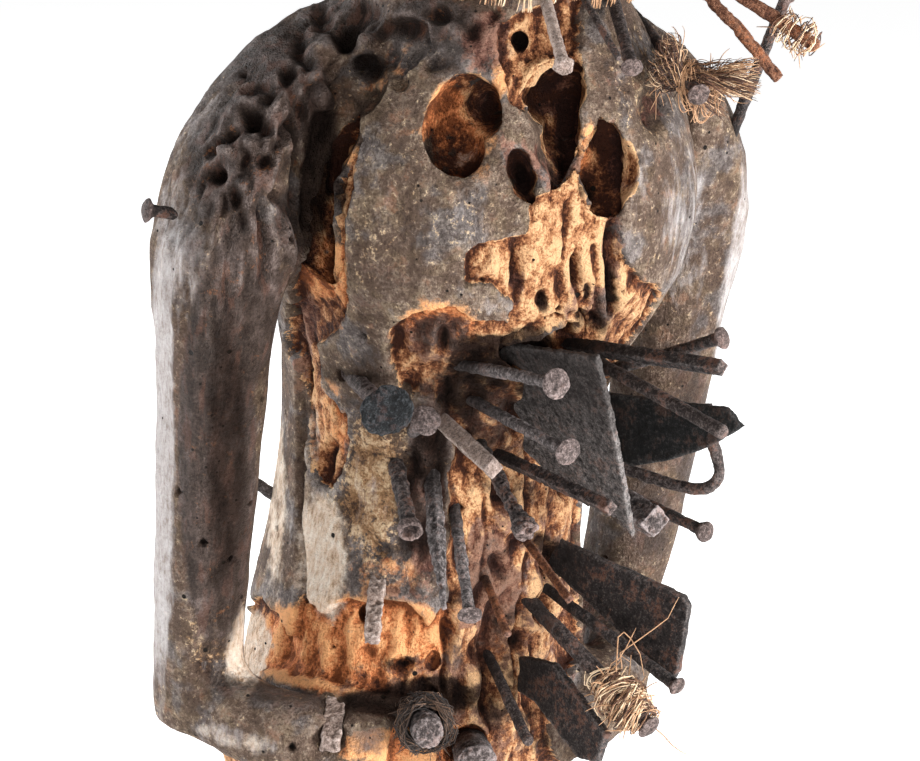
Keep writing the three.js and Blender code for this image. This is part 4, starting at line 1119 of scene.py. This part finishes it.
# Iron and pegs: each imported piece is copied, or drawn anew along its axis, then remeshed fine and corroded.
ironPieces = {  # node: material, roughness, bow, how it is made, its sizes; all in millimetres
    "nail_chest_top_right": (pegWood, 0.18, 0.4, "copy"),
    "needle_chest_top": (iron, 0.08, 0.8, "rod", 1.2),
    "nail_chest_top_left": (iron, 0.22, 0.3, "nail", 2.2, 3.8),
    "nail_shoulder_right": (iron, 0.3, 0, "nail", 2.2, 4.5),
    "nail_belly_disc": (discIron, 0.45, 0, "disc", 3.2, 9.4),
    "nail_belly_stub": (greyIron, 0.35, 0, "nail", 2.2, 5.4),
    "peg_belly_pale": (pegWood, 0.25, 0.2, "copy"),
    "nail_belly_high": (greyIron, 0.35, 0.6, "nail", 2.2, 5.4),
    "nail_belly_middle": (greyIron, 0.35, -0.5, "nail", 2.2, 5),
    "bar_belly_long": (iron, 0.35, 0.3, "copy"),
    "nail_belly_crusted": (iron, 1.0, 0.4, "crust", 2.6, 4),
    "nail_left_high": (darkIron, 0.3, -0.8, "nail", 2.2, 4),
    "bar_left_high": (darkIron, 0.25, 0, "copy"),
    "nail_left_long": (iron, 0.25, 0.5, "rod", 2.4),
    "bolt_left_square": (greyIron, 0.55, 0, "copy"),
    "nail_left_cone": (darkIron, 0.25, 0.3, "cone", 2.2, 4),
    "nail_waist_ringed": (iron, 0.6, 0.5, "ring", 3, 4.6),
    "shard_waist": (greyIron, 0.6, 0.8, "copy"),
    "nail_waist_long": (greyIron, 0.4, 0.9, "nail", 2.2, 4.4),
    "nail_waist_thin": (rustIron, 0.3, 0.6, "copy"),
    "nail_waist_low": (rustIron, 0.3, 0.3, "rod", 1.6),
    "rod_hip_wrapped": (iron, 0.35, 0.2, "nail", 3, 4.6),
    "nail_hip_behind": (darkIron, 0.3, 0.2, "nail", 2.2, 3.4),
    "nail_hip_low": (iron, 0.3, 0.3, "rod", 2),
    "peg_hip_right": (pegWood, 0.5, 0, "square", 5.0),
    "bolt_hip_right": (greyIron, 0.6, 0, "rod", 5.5),
    "bolt_hip_front": (greyIron, 0.6, 0, "rod", 7),
    "peg_waist_right": (pegWood, 0.8, 0.3, "square", 4.0),
    "rod_neck_left": (rustIron, 0.45, 0.6, "copy"),
    "rod_neck_wrapped": (rustIron, 0.35, 0.4, "rod", 2.4),
    "nail_left_shoulder": (darkIron, 0.25, 1.6, "cup", 2.2, 3.4),
    "nail_left_tassel": (iron, 0.25, 0, "nail", 2.2, 4),
    "nail_back_right": (greyIron, 0.25, 0, "nail", 2.2, 4),
    "nail_left_hooked": (iron, 0.35, 0, "hook", 2.2, 4),
    "blade_belly": (bladeIron, 0.3, 0, "copy"),
    "blade_left_pointed": (blackIron, 0.22, 0, "copy"),
    "blade_hip": (darkIron, 0.22, 0, "copy"),
    "blade_hip_low": (darkIron, 0.22, 0, "copy"),
}

forgeSettings = {  # metres; plates are coarser but may keep more triangles
    "voxel": (0.00045, 0.00075),
    "triangles": (7000, 26000),
    "sides": 24,
    "head": (0.0042, 0.003),  # where a head begins and is whole, from the tip
    "headUneven": {"disc": 0.1, "nail": 0.055, "crust": 0.055},
    "skin": 0.0035,
    "fineSkin": 0.0011,
    "pits": 0.0042,
    "crust": 0.0062,
    "crustHeight": 0.0011,
    "bowLevel": 0.6,
    "bowUp": 0.8,
    "rootShare": {
        "nail_belly_disc": 0, "nail_shoulder_right": 0, "peg_belly_pale": 0.2,
        "nail_chest_top_right": 0, "peg_hip_right": 0.3,
    },
    "wornShare": {"copy": 0.4, "rod": 0.45, "square": 0.5},
}


def outlineOf(way, length, shank, head=0):  # distance from the root and radius, in millimetres
    if way == "square":
        return [(0, shank), (length * 0.6, shank), (length - 0.6, shank * 0.97), (length, shank * 0.86)]
    if way == "rod":
        return [(0, shank * 0.9), (length * 0.5, shank), (length - 1, shank * 1.02), (length, shank * 0.72)]
    ends = {  # distance from the tip and radius
        "cone": [(5, shank), (1.4, head), (0.4, head * 0.86), (0, head * 0.4)],
        "ring": [
            (5, shank), (3.2, head * 0.98), (0.7, head), (0, head * 0.8), (1, head * 0.55), (3, head * 0.42),
        ],
        "cup": [(3, shank), (1.6, head * 0.9), (0.3, head), (0, head * 0.8), (0.7, head * 0.5)],
        "crust": [(9, shank * 1.25), (5, head), (1.5, head * 1.05), (0, head * 0.7)],
    }
    rise = 1.0 if way == "disc" else 0.8
    flat = [
        (3.4, shank * 1.05), (2.5, head * 0.8), (1.9, head), (1.2, head * 0.99), (0.3, head * rise * 0.82),
        (0, head * rise * 0.45),
    ]
    start = [(0, shank * 0.85), (length * 0.4, shank), (length * 0.8, shank * 0.94)]
    return start + [(length - away, radius) for away, radius in ends.get(way, flat)]


def turnPiece(name, root, ahead, rows, sides):  # drawn out ring by ring along its axis
    at = root + ahead * rows[0][0] / 1000
    turned = ahead.to_track_quat("Z", "Y") @ Quaternion((0, 0, 1), math.pi / sides)
    bpy.ops.mesh.primitive_circle_add(
        vertices=sides, radius=rows[0][1] / 1000, fill_type="NGON", location=at, rotation=turned.to_euler()
    )
    piece = bpy.context.object
    piece.name = name
    bpy.ops.object.mode_set(mode="EDIT")
    for (before, wide), (after, nextWide) in zip(rows, rows[1:]):
        bpy.ops.mesh.extrude_region_move(TRANSFORM_OT_translate={"value": ahead * (after - before) / 1000})
        at = root + ahead * after / 1000
        bpy.ops.transform.resize(value=(nextWide / wide,) * 3, center_override=at)
    bpy.ops.mesh.select_all(action="SELECT")
    bpy.ops.mesh.normals_make_consistent(inside=False)
    bpy.ops.object.mode_set(mode="OBJECT")
    bpy.ops.object.transform_apply(location=True, rotation=True, scale=True)
    return piece


def axisOf(co):  # root and tip of a driven piece, the root being the end nearer the middle of the body
    middle = co.mean(0)
    direction = np.linalg.svd(co - middle, full_matrices=False)[2][0]
    along = (co - middle) @ direction
    ends = [middle + direction * along.min(), middle + direction * along.max()]
    ends.sort(key=lambda p: math.hypot(p[0], p[1]))
    return ends[0], ends[1]


hookPlaces = [  # the bent nail in the picture
    (636, 472), (660, 481), (685, 488), (702, 490), (714, 486), (720, 475), (718, 459), (712, 441),
    (706, 425), (703, 412),
]


def newCurve(name, thickness, roundness):
    curve = bpy.data.curves.new(name, "CURVE")
    curve.dimensions = "3D"
    curve.bevel_depth = thickness
    curve.bevel_resolution = roundness
    curve.use_fill_caps = True
    return curve


def curveMesh(name, curve):
    piece = bpy.data.objects.new(name, curve)
    bpy.context.collection.objects.link(piece)
    pick(piece)
    bpy.ops.object.convert(target="MESH")
    return bpy.context.object


def bendHook(name, co, root, shank, head):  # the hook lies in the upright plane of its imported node
    middle = co.mean(0)
    flat = (co - middle)[:, :2]
    run = np.linalg.svd(flat, full_matrices=False)[2][0]
    across = Vector((-run[1], run[0], 0))
    line = [Vector(root)]
    for x, y in hookPlaces:
        ray = sightLine(x, y)
        line.append(eye + ray * ((Vector(middle) - eye).dot(across) / ray.dot(across)))
    ahead = (line[-1] - line[-2]).normalized()
    line += [line[-1] + ahead * 0.0012, line[-1] + ahead * 0.0022]
    curve = newCurve(name, shank / 1000, 4)
    spline = curve.splines.new("NURBS")
    spline.points.add(len(line) - 1)
    spline.order_u, spline.use_endpoint_u, spline.resolution_u = 4, True, 5
    for i, p in enumerate(line):
        spline.points[i].co = (*p, 1)
        spline.points[i].radius = head / shank if i >= len(line) - 2 else 1
    return curveMesh(name, curve)


def corrode(piece, root, ahead, length, seed, rough, bow, way):  # rough skin, uneven head, and a slight bow
    co, no = coordinates(piece), normals(piece)
    t = ((co - root) @ ahead) / length
    skin = softNoise(co, forgeSettings["skin"], seed, 2)
    skin = skin + 0.5 * softNoise(co, forgeSettings["fineSkin"], seed + 5, 2)
    pits = smoothStep(0.42, 0.15, nearestSpot(co, forgeSettings["pits"], seed + 9))
    out = rough / 1000 * (skin - 0.8 * pits)
    if way in forgeSettings["headUneven"]:
        begin, whole = forgeSettings["head"]
        headPart = smoothStep(length - begin, length - whole, t * length)
        fromAxis = co - root - t[:, None] * length * ahead
        reach = np.linalg.norm(fromAxis, axis=1)
        uneven = softNoise(fromAxis / np.maximum(reach, 1e-6)[:, None] * 0.01, 0.009, seed + 2, 2)
        out += headPart * forgeSettings["headUneven"][way] * reach * uneven
    if way == "crust":
        lumps = softNoise(co, forgeSettings["crust"], seed + 4, 2)
        out += forgeSettings["crustHeight"] * lumps * smoothStep(0.1, 0.3, t)
    moved = co + no * out[:, None]
    if bow:
        sway = np.sin(np.clip(t, 0, 1) * math.pi)[:, None]
        level = forgeSettings["bowLevel"] * np.cross(ahead, (0, 0, 1))
        moved += sway * bow / 1000 * (level + np.array((0, 0, forgeSettings["bowUp"])))
    reshape(piece, moved)


def headShare(way, t, end, length):  # 1 on the worn end of a piece, t being the share of its length
    if way in ("nail", "cone", "ring", "cup"):
        return smoothStep(length - 0.0042, length - 0.0028, t * length)
    if way == "disc":
        return smoothStep(0.9, 0.8, t)  # a pale shank under the dark head
    return smoothStep(0.93, 0.99, t) * smoothStep(0.3, 0.8, end)


def forge(node, seed, material, rough, bow, way, *sizes):
    name = node + "_forged"
    piece = copyOf(node, name)
    plate = node.startswith("blade")
    packed = coordinates(piece)
    root, tip = axisOf(packed)
    length = np.linalg.norm(tip - root)
    ahead = (tip - root) / length
    if way != "copy":
        bpy.data.objects.remove(piece)
        if way == "hook":
            piece = bendHook(name, packed, root, *sizes)
        else:
            sides = 4 if way == "square" else forgeSettings["sides"]
            rows = outlineOf(way, length * 1000, *sizes)
            piece = turnPiece(name, Vector(root), Vector(ahead), rows, sides)
    finishWith(piece, "REMESH", mode="VOXEL", voxel_size=forgeSettings["voxel"][plate])
    finishWith(piece, "SMOOTH", factor=0.5, iterations=2)
    corrode(piece, root, ahead, length, seed, rough, bow, way)
    thinned(piece, forgeSettings["triangles"][plate])
    co, no = coordinates(piece), normals(piece)
    t = ((co - root) @ ahead) / length
    rootShare = forgeSettings["rootShare"].get(node, 1) * (0.85 if plate else 1)
    wornShare = 0 if plate else forgeSettings["wornShare"].get(way, 0.8)
    store(piece, "root", smoothStep(0.5, 0.2, t) * rootShare)
    store(piece, "worn", headShare(way, t, no @ ahead, length) * wornShare)
    store(piece, "ridge", np.clip(ridges(piece, 6) * 3, -1.5, 1.5))
    smoothShaded(piece)
    place(piece, "peg_wood" if node.startswith("peg") else "rusted_iron", material, node)


for number, (node, row) in enumerate(ironPieces.items()):
    forge(node, 60 + number * 3, *row)
print("iron forged:", len(ironPieces), "pieces")


# Fibre: strands are drawn as curves and turned into mesh.
def strands(name, lines, thickness, tones):
    curve = newCurve(name, thickness, 0)
    for line in lines:
        spline = curve.splines.new("POLY")
        spline.points.add(len(line) - 1)
        spline.points.foreach_set("co", [value for p in line for value in (*p, 1)])
        last = len(line) - 1
        spline.points.foreach_set("radius", [1 - 0.55 * (i / last) ** 3 for i in range(last + 1)])
    piece = curveMesh(name, curve)
    shades = []
    for line, tone in zip(lines, tones):
        first, last = tone if isinstance(tone, tuple) else (tone, tone)
        for i in range(len(line)):
            shades += [first + (last - first) * i / (len(line) - 1)] * 4
    count = len(piece.data.vertices)
    store(piece, "tone", (shades + [0.5] * count)[:count])
    smoothShaded(piece)
    return piece


def frameOf(ahead):
    side = ahead.cross(Vector((0, 0, 1))).normalized()
    return side, side.cross(ahead)


def windings(root, ahead, start, stop, inner, outer, count, turns, chance, mess):  # strands round a bar
    side, over = frameOf(ahead)
    lines = []
    for i in range(count):
        middle = chance.uniform(start, stop)
        drift = chance.uniform(-0.25, 0.25) * (stop - start)
        lean = chance.uniform(-0.35, 0.35) * (1 + 1.3 * mess)
        wound = turns * chance.uniform(1 - 0.75 * mess, 1)
        waves = chance.uniform(2, 5)
        first = chance.uniform(0, 2 * math.pi)
        share = (middle - start) / (stop - start)
        bulge = inner + (outer - inner) * math.sin(math.pi * min(max(share, 0.06), 0.94)) ** 0.6
        radius = chance.uniform(inner + 0.4 * (bulge - inner), bulge)
        steps = max(6, int(14 * wound))
        line = []
        for k in range(steps + 1):
            s = k / steps
            angle = first + s * wound * 2 * math.pi
            along = middle + drift * (s - 0.5) + lean * radius * math.cos(angle)
            reach = radius * (1 + (0.06 + 0.1 * mess) * math.sin(waves * angle + i))
            line.append(root + ahead * along + (side * math.cos(angle) + over * math.sin(angle)) * reach)
        lines.append(line)
    return lines


def looseEnd(start, direction, length, sag, chance, steps=9):  # one strand that stands away
    side, over = frameOf(direction.normalized())
    bend, twist = chance.uniform(-1, 1), chance.uniform(-1, 1)
    line = []
    for k in range(steps + 1):
        s = k / steps
        p = start + direction.normalized() * length * s
        p = p + side * bend * length * 0.35 * s * s + over * twist * length * 0.3 * s ** 2.5
        line.append(p - Vector((0, 0, sag * length * s * s)))
    return line


bindings = {  # piece: bar, strand count, thickness, loose ends and their length, disorder, material
    "binding_hip_rod": ("rod_hip_wrapped", 110, 0.00027, 34, 0.007, 0.8, raffia),
    "binding_neck_rod": ("rod_neck_wrapped", 30, 0.00024, 26, 0.007, 1, raffia),
    "binding_hip_bolt": ("bolt_hip_right", 150, 0.0002, 160, 0.0045, 1, darkFibre),
}


def packedPoints(node):
    return np.array([v.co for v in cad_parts[node].data.vertices])


def bind(node, bar, count, loose, longest, mess, seed):
    chance = random.Random(seed)
    root, tip = (Vector(end) for end in axisOf(packedPoints(bar)))
    ahead = (tip - root).normalized()
    co = packedPoints(node)
    along = (co - np.array(root)) @ np.array(ahead)
    away = np.linalg.norm(co - np.array(root) - along[:, None] * np.array(ahead), axis=1)
    start, stop = along.min() + 0.001, along.max() - 0.001
    inner, outer = away.min() + 0.0006, away.max() - 0.0004
    lines = windings(root, ahead, start, stop, inner, outer, count, 1.3, chance, mess)
    side, over = frameOf(ahead)
    for i in range(loose):
        angle = chance.uniform(0, 2 * math.pi)
        outward = side * math.cos(angle) + over * math.sin(angle)
        at = root + ahead * chance.uniform(start, stop)
        at = at + outward * (away.max() - 0.002 - 0.002 * chance.random())
        direction = outward * chance.uniform(0.3, 1) + ahead * chance.uniform(-0.9, 0.9)
        lines.append(looseEnd(at, direction, longest * chance.uniform(0.4, 1.3), 0.25, chance))
    tones = [chance.random() for line in lines]
    return lines, tones


looseStrands = [  # long strands seen against the hip blade, picture places
    [(622, 668), (620, 653), (637, 641), (655, 628), (668, 618), (675, 604), (679, 597)],
    [(616, 672), (617, 655), (618, 637), (624, 632), (631, 639), (640, 654), (644, 676)],
    [(610, 700), (607, 690), (606, 678), (611, 664), (622, 656), (630, 662)],
    [(618, 660), (626, 648), (632, 636), (636, 628)],
    [(655, 728), (664, 736), (672, 745), (680, 751), (690, 756)],
    [(628, 680), (630, 668), (631, 655)],
]

for number, (node, (bar, count, thickness, loose, longest, mess, material)) in enumerate(bindings.items()):
    lines, tones = bind(node, bar, count, loose, longest, mess, 11 + number)
    if node == "binding_hip_rod":
        centre = (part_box(node)[0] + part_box(node)[1]) / 2
        depth = (eye - centre).dot(viewBack)
        for k, places in enumerate(looseStrands):
            lines.append([fromPicture(x, y, depth - 0.004 + 0.0012 * k) for x, y in places])
            tones.append(0.75)
    piece = strands(node + "_strands", lines, thickness, tones)
    place(piece, "fibre", material, node)
print("bindings wound")


# Tassel: a brush of hair and raffia tied across the nail on the left shoulder.
tassel = {  # counts of strands, then thickness and the place of its tie
    "clump": 420,
    "brush": 190,
    "tuft": 260,
    "ties": 34,
    "loops": 26,
    "loose": 50,
    "thickness": 0.00019,
    "tie": 0.012,
}


def curled(start, direction, length, curl, chance, steps=12):  # a strand that waves as it goes
    ahead = direction.normalized()
    side, over = frameOf(ahead)
    phase, waves, amount = chance.uniform(0, 6), chance.uniform(4, 9), curl * chance.uniform(0.4, 1)
    line = []
    for k in range(steps + 1):
        s = k / steps
        sway = side * math.sin(phase + waves * s) + over * math.cos(phase + waves * 0.8 * s)
        still = side * math.sin(phase) + over * math.cos(phase)
        line.append(start + ahead * length * s + (sway - still) * amount * s)
    return line


def tieTassel():
    chance = random.Random(31)
    first, last = sorted((Vector(end) for end in axisOf(packedPoints("fibre_tassel"))), key=lambda p: p.x)
    ahead = (last - first).normalized()
    length = (last - first).length
    side, over = frameOf(ahead)
    knot = first + ahead * tassel["tie"]
    lines, tones = [], []

    def inDisc(radius):  # a place in a disc across the brush
        angle, reach = chance.uniform(0, 2 * math.pi), radius * math.sqrt(chance.random())
        return side * math.cos(angle) * reach + over * math.sin(angle) * reach

    for i in range(tassel["clump"]):  # dark hair above the knot
        away = inDisc(1.0)
        direction = -ahead * 0.75 + over * 0.55 + away * 0.5
        lines.append(curled(knot + away * 0.004, direction, chance.uniform(0.006, 0.014), 0.0034, chance))
        tones.append((chance.uniform(0, 0.08), chance.uniform(0, 0.24)))
    for i in range(tassel["brush"]):  # raffia below it
        away = inDisc(1.0)
        direction = ahead + away * 0.45 - over * 0.25
        lines.append(curled(knot + away * 0.0045, direction, chance.uniform(0.006, 0.018), 0.0026, chance))
        tones.append((chance.uniform(0.2, 0.9), chance.uniform(0.1, 0.9)))
    for i in range(tassel["tuft"]):  # a dark tuft at the end
        away = inDisc(1.0)
        start = knot + ahead * 0.009 + away * 0.0025
        long = chance.uniform(0.4, 0.9) * (length - 0.02)
        lines.append(curled(start, ahead + away * 0.35 + over * 0.1, long, 0.0026, chance))
        tones.append((chance.uniform(0, 0.16), chance.uniform(0, 0.5)))
    start, stop = tassel["tie"] - 0.004, tassel["tie"] + 0.005
    lines += windings(first, ahead, start, stop, 0.0036, 0.0064, tassel["ties"], 1.2, chance, 0.4)
    tones += [chance.uniform(0.5, 1) for i in range(tassel["ties"])]
    for i in range(tassel["loops"]):  # strands that hang and turn back
        start = knot + ahead * chance.uniform(-0.002, 0.008) + inDisc(0.005)
        drop, wide = chance.uniform(0.005, 0.012), chance.uniform(0.001, 0.004)
        line = []
        for k in range(13):
            angle = math.pi * k / 12
            turning = start + ahead * wide * (1 - math.cos(angle)) - over * drop * math.sin(angle)
            line.append(turning + side * wide * math.sin(2 * angle))
        lines.append(line)
        tones.append(chance.uniform(0.45, 1))
    for i in range(tassel["loose"]):
        outward = inDisc(1.0).normalized()
        at = knot + ahead * chance.uniform(-0.01, 0.012) + outward * 0.004
        direction = outward + ahead * chance.uniform(-1, 1)
        lines.append(looseEnd(at, direction, chance.uniform(0.004, 0.011), 0.3, chance))
        tones.append(chance.uniform(0, 0.8))
    piece = strands("fibre_tassel_strands", lines, tassel["thickness"], tones)
    place(piece, "fibre", raffia, "fibre_tassel")


tieTassel()
print("tassel tied")


# Collar: a twisted cord round the neck with a fringe of fibre hanging from it.
collar = {
    "cords": 4,
    "cordThickness": 0.0011,
    "twist": 0.0013,  # radius of the twisted cord's middle lines
    "steps": 72,  # places round the neck
    "between": 3,  # points of a cord for each of them
    "tufts": 46,
    "perTuft": 11,
    "thickness": 0.00026,
}


def collarReach():  # its middle, its top and its radius at each place round the neck
    co = packedPoints("fibre_collar")
    centre = Vector((*(co.min(0) + co.max(0))[:2] / 2, 0))
    x, y = co[:, 0] - centre.x, co[:, 1] - centre.y
    angles, away = np.arctan2(y, x), np.hypot(x, y)
    reach = {}
    for k in range(collar["steps"]):
        angle = 2 * math.pi * k / collar["steps"]
        off = np.abs((angles - angle + math.pi) % (2 * math.pi) - math.pi)
        reach[angle] = np.percentile(away[off < 0.35], 85)
    return centre, co[:, 2].max(), reach


def cordLine(centre, high, reach, number):
    radii, steps, between = list(reach.values()), collar["steps"], collar["between"]
    line = []
    for k in range((steps + 1) * between):
        step, part = k // between, k % between / between
        a = list(reach)[step % steps] + part * 2 * math.pi / steps
        base = radii[step % steps] * (1 - part) + radii[(step + 1) % steps] * part
        twist = a * 26 + number * 2 * math.pi / collar["cords"]
        r = base - 0.0024 + collar["twist"] * math.cos(twist)
        z = high - 0.0035 + collar["twist"] * math.sin(twist)
        line.append(Vector((centre.x + r * math.cos(a), centre.y + r * math.sin(a), z)))
    return line


def weaveCollar():
    chance = random.Random(77)
    centre, high, reach = collarReach()
    cordLines = [cordLine(centre, high, reach, number) for number in range(collar["cords"])]
    cord = strands("collar_cord", cordLines, collar["cordThickness"], [0.3, 0.5, 0.35, 0.6])
    place(cord, "fibre", darkFibre, "fibre_collar")
    lines, tones = [], []
    for t in range(collar["tufts"]):
        middle = 2 * math.pi * (t + chance.uniform(-0.3, 0.3)) / collar["tufts"]
        shade = chance.uniform(0.15, 0.9)
        hang = chance.uniform(0.007, 0.0125)
        for i in range(collar["perTuft"]):
            a = middle + chance.uniform(-0.05, 0.05)
            nearest = min(reach, key=lambda each: abs((each - a + math.pi) % (2 * math.pi) - math.pi))
            r = reach[nearest] - 0.0028
            start = Vector((centre.x + r * math.cos(a), centre.y + r * math.sin(a), high - 0.001))
            outward = Vector((math.cos(a), math.sin(a), 0))
            flare, drift = chance.uniform(0.0005, 0.003), chance.uniform(-0.002, 0.002)
            sideways = outward.cross(Vector((0, 0, 1))) * drift
            line = []
            for s in (k / 7 for k in range(8)):
                out = outward * flare * math.sin(s * 2.2) + sideways * s
                line.append(start + out - Vector((0, 0, hang * s)))
            lines.append(line)
            tones.append(min(1, max(0, shade + chance.uniform(-0.2, 0.2))))
    fringe = strands("collar_fringe", lines, collar["thickness"], tones)
    place(fringe, "fibre", raffia)


weaveCollar()
print("collar woven")


# Floor, light and camera
def stageMaterial():
    material, tree, shader = startMaterial("pale_floor", Roughness=0.9)
    shader.inputs["Base Color"].default_value = (0.86, 0.86, 0.86, 1)
    shader.inputs["Emission Color"].default_value = (1, 1, 1, 1)
    shader.inputs["Emission Strength"].default_value = 0.75
    return material


bpy.ops.mesh.primitive_plane_add(size=40, location=(0, 0, -0.0005))
floor = bpy.context.object
floor.name = "floor"
floor.data.materials.append(stageMaterial())

lights = {  # towards: share of right, up and back from the middle of the figure; size and distance in metres
    "key": {"towards": (1.0, 0.0, 0.5), "distance": 1.3, "size": 0.45, "power": 32},
    "front": {"towards": (0.1, -0.15, 1), "distance": 2.0, "size": 0.7, "power": 26},
    "rim": {
        "towards": (-1, 0.25, -0.45), "distance": 1.2, "size": 1.0, "power": 19, "tint": (0.98, 0.99, 1.0),
    },
    "left": {
        "towards": (-1, 0.4, 0.12), "distance": 1.3, "size": 0.9, "power": 9, "tint": (0.97, 0.98, 1.0),
    },
    "rimRight": {"towards": (1, 0.3, -0.8), "distance": 1.4, "size": 1.0, "power": 9},
}
for name, light in lights.items():
    data = bpy.data.lights.new(name, "AREA")
    data.size = light["size"]
    data.energy = light["power"]
    data.color = light.get("tint", (1, 1, 1))
    lamp = bpy.data.objects.new(name, data)
    bpy.context.collection.objects.link(lamp)
    r, u, b = light["towards"]
    direction = (viewRight * r + viewUp * u + viewBack * b).normalized()
    lamp.location = Vector(view["target"]) + direction * light["distance"]
    lamp.rotation_mode = "QUATERNION"
    lamp.rotation_quaternion = (-direction).to_track_quat("-Z", "Y")

world = bpy.data.worlds.new("studio")
world.use_nodes = True
world.node_tree.nodes["Background"].inputs["Color"].default_value = (1, 1, 1, 1)
world.node_tree.nodes["Background"].inputs["Strength"].default_value = 0.16
bpy.context.scene.world = world
bpy.context.scene.view_settings.view_transform = "Standard"

camera = bpy.data.objects.new("camera", bpy.data.cameras.new("camera"))
bpy.context.collection.objects.link(camera)
camera.data.lens = view["lens"]
camera.data.sensor_width = view["sensor"]
camera.location = eye
camera.rotation_mode = "QUATERNION"
camera.rotation_quaternion = (-viewBack).to_track_quat("-Z", "Y") @ Quaternion((0, 0, 1), roll)
bpy.context.scene.camera = camera
print("stage set")

bpy.context.view_layer.update()
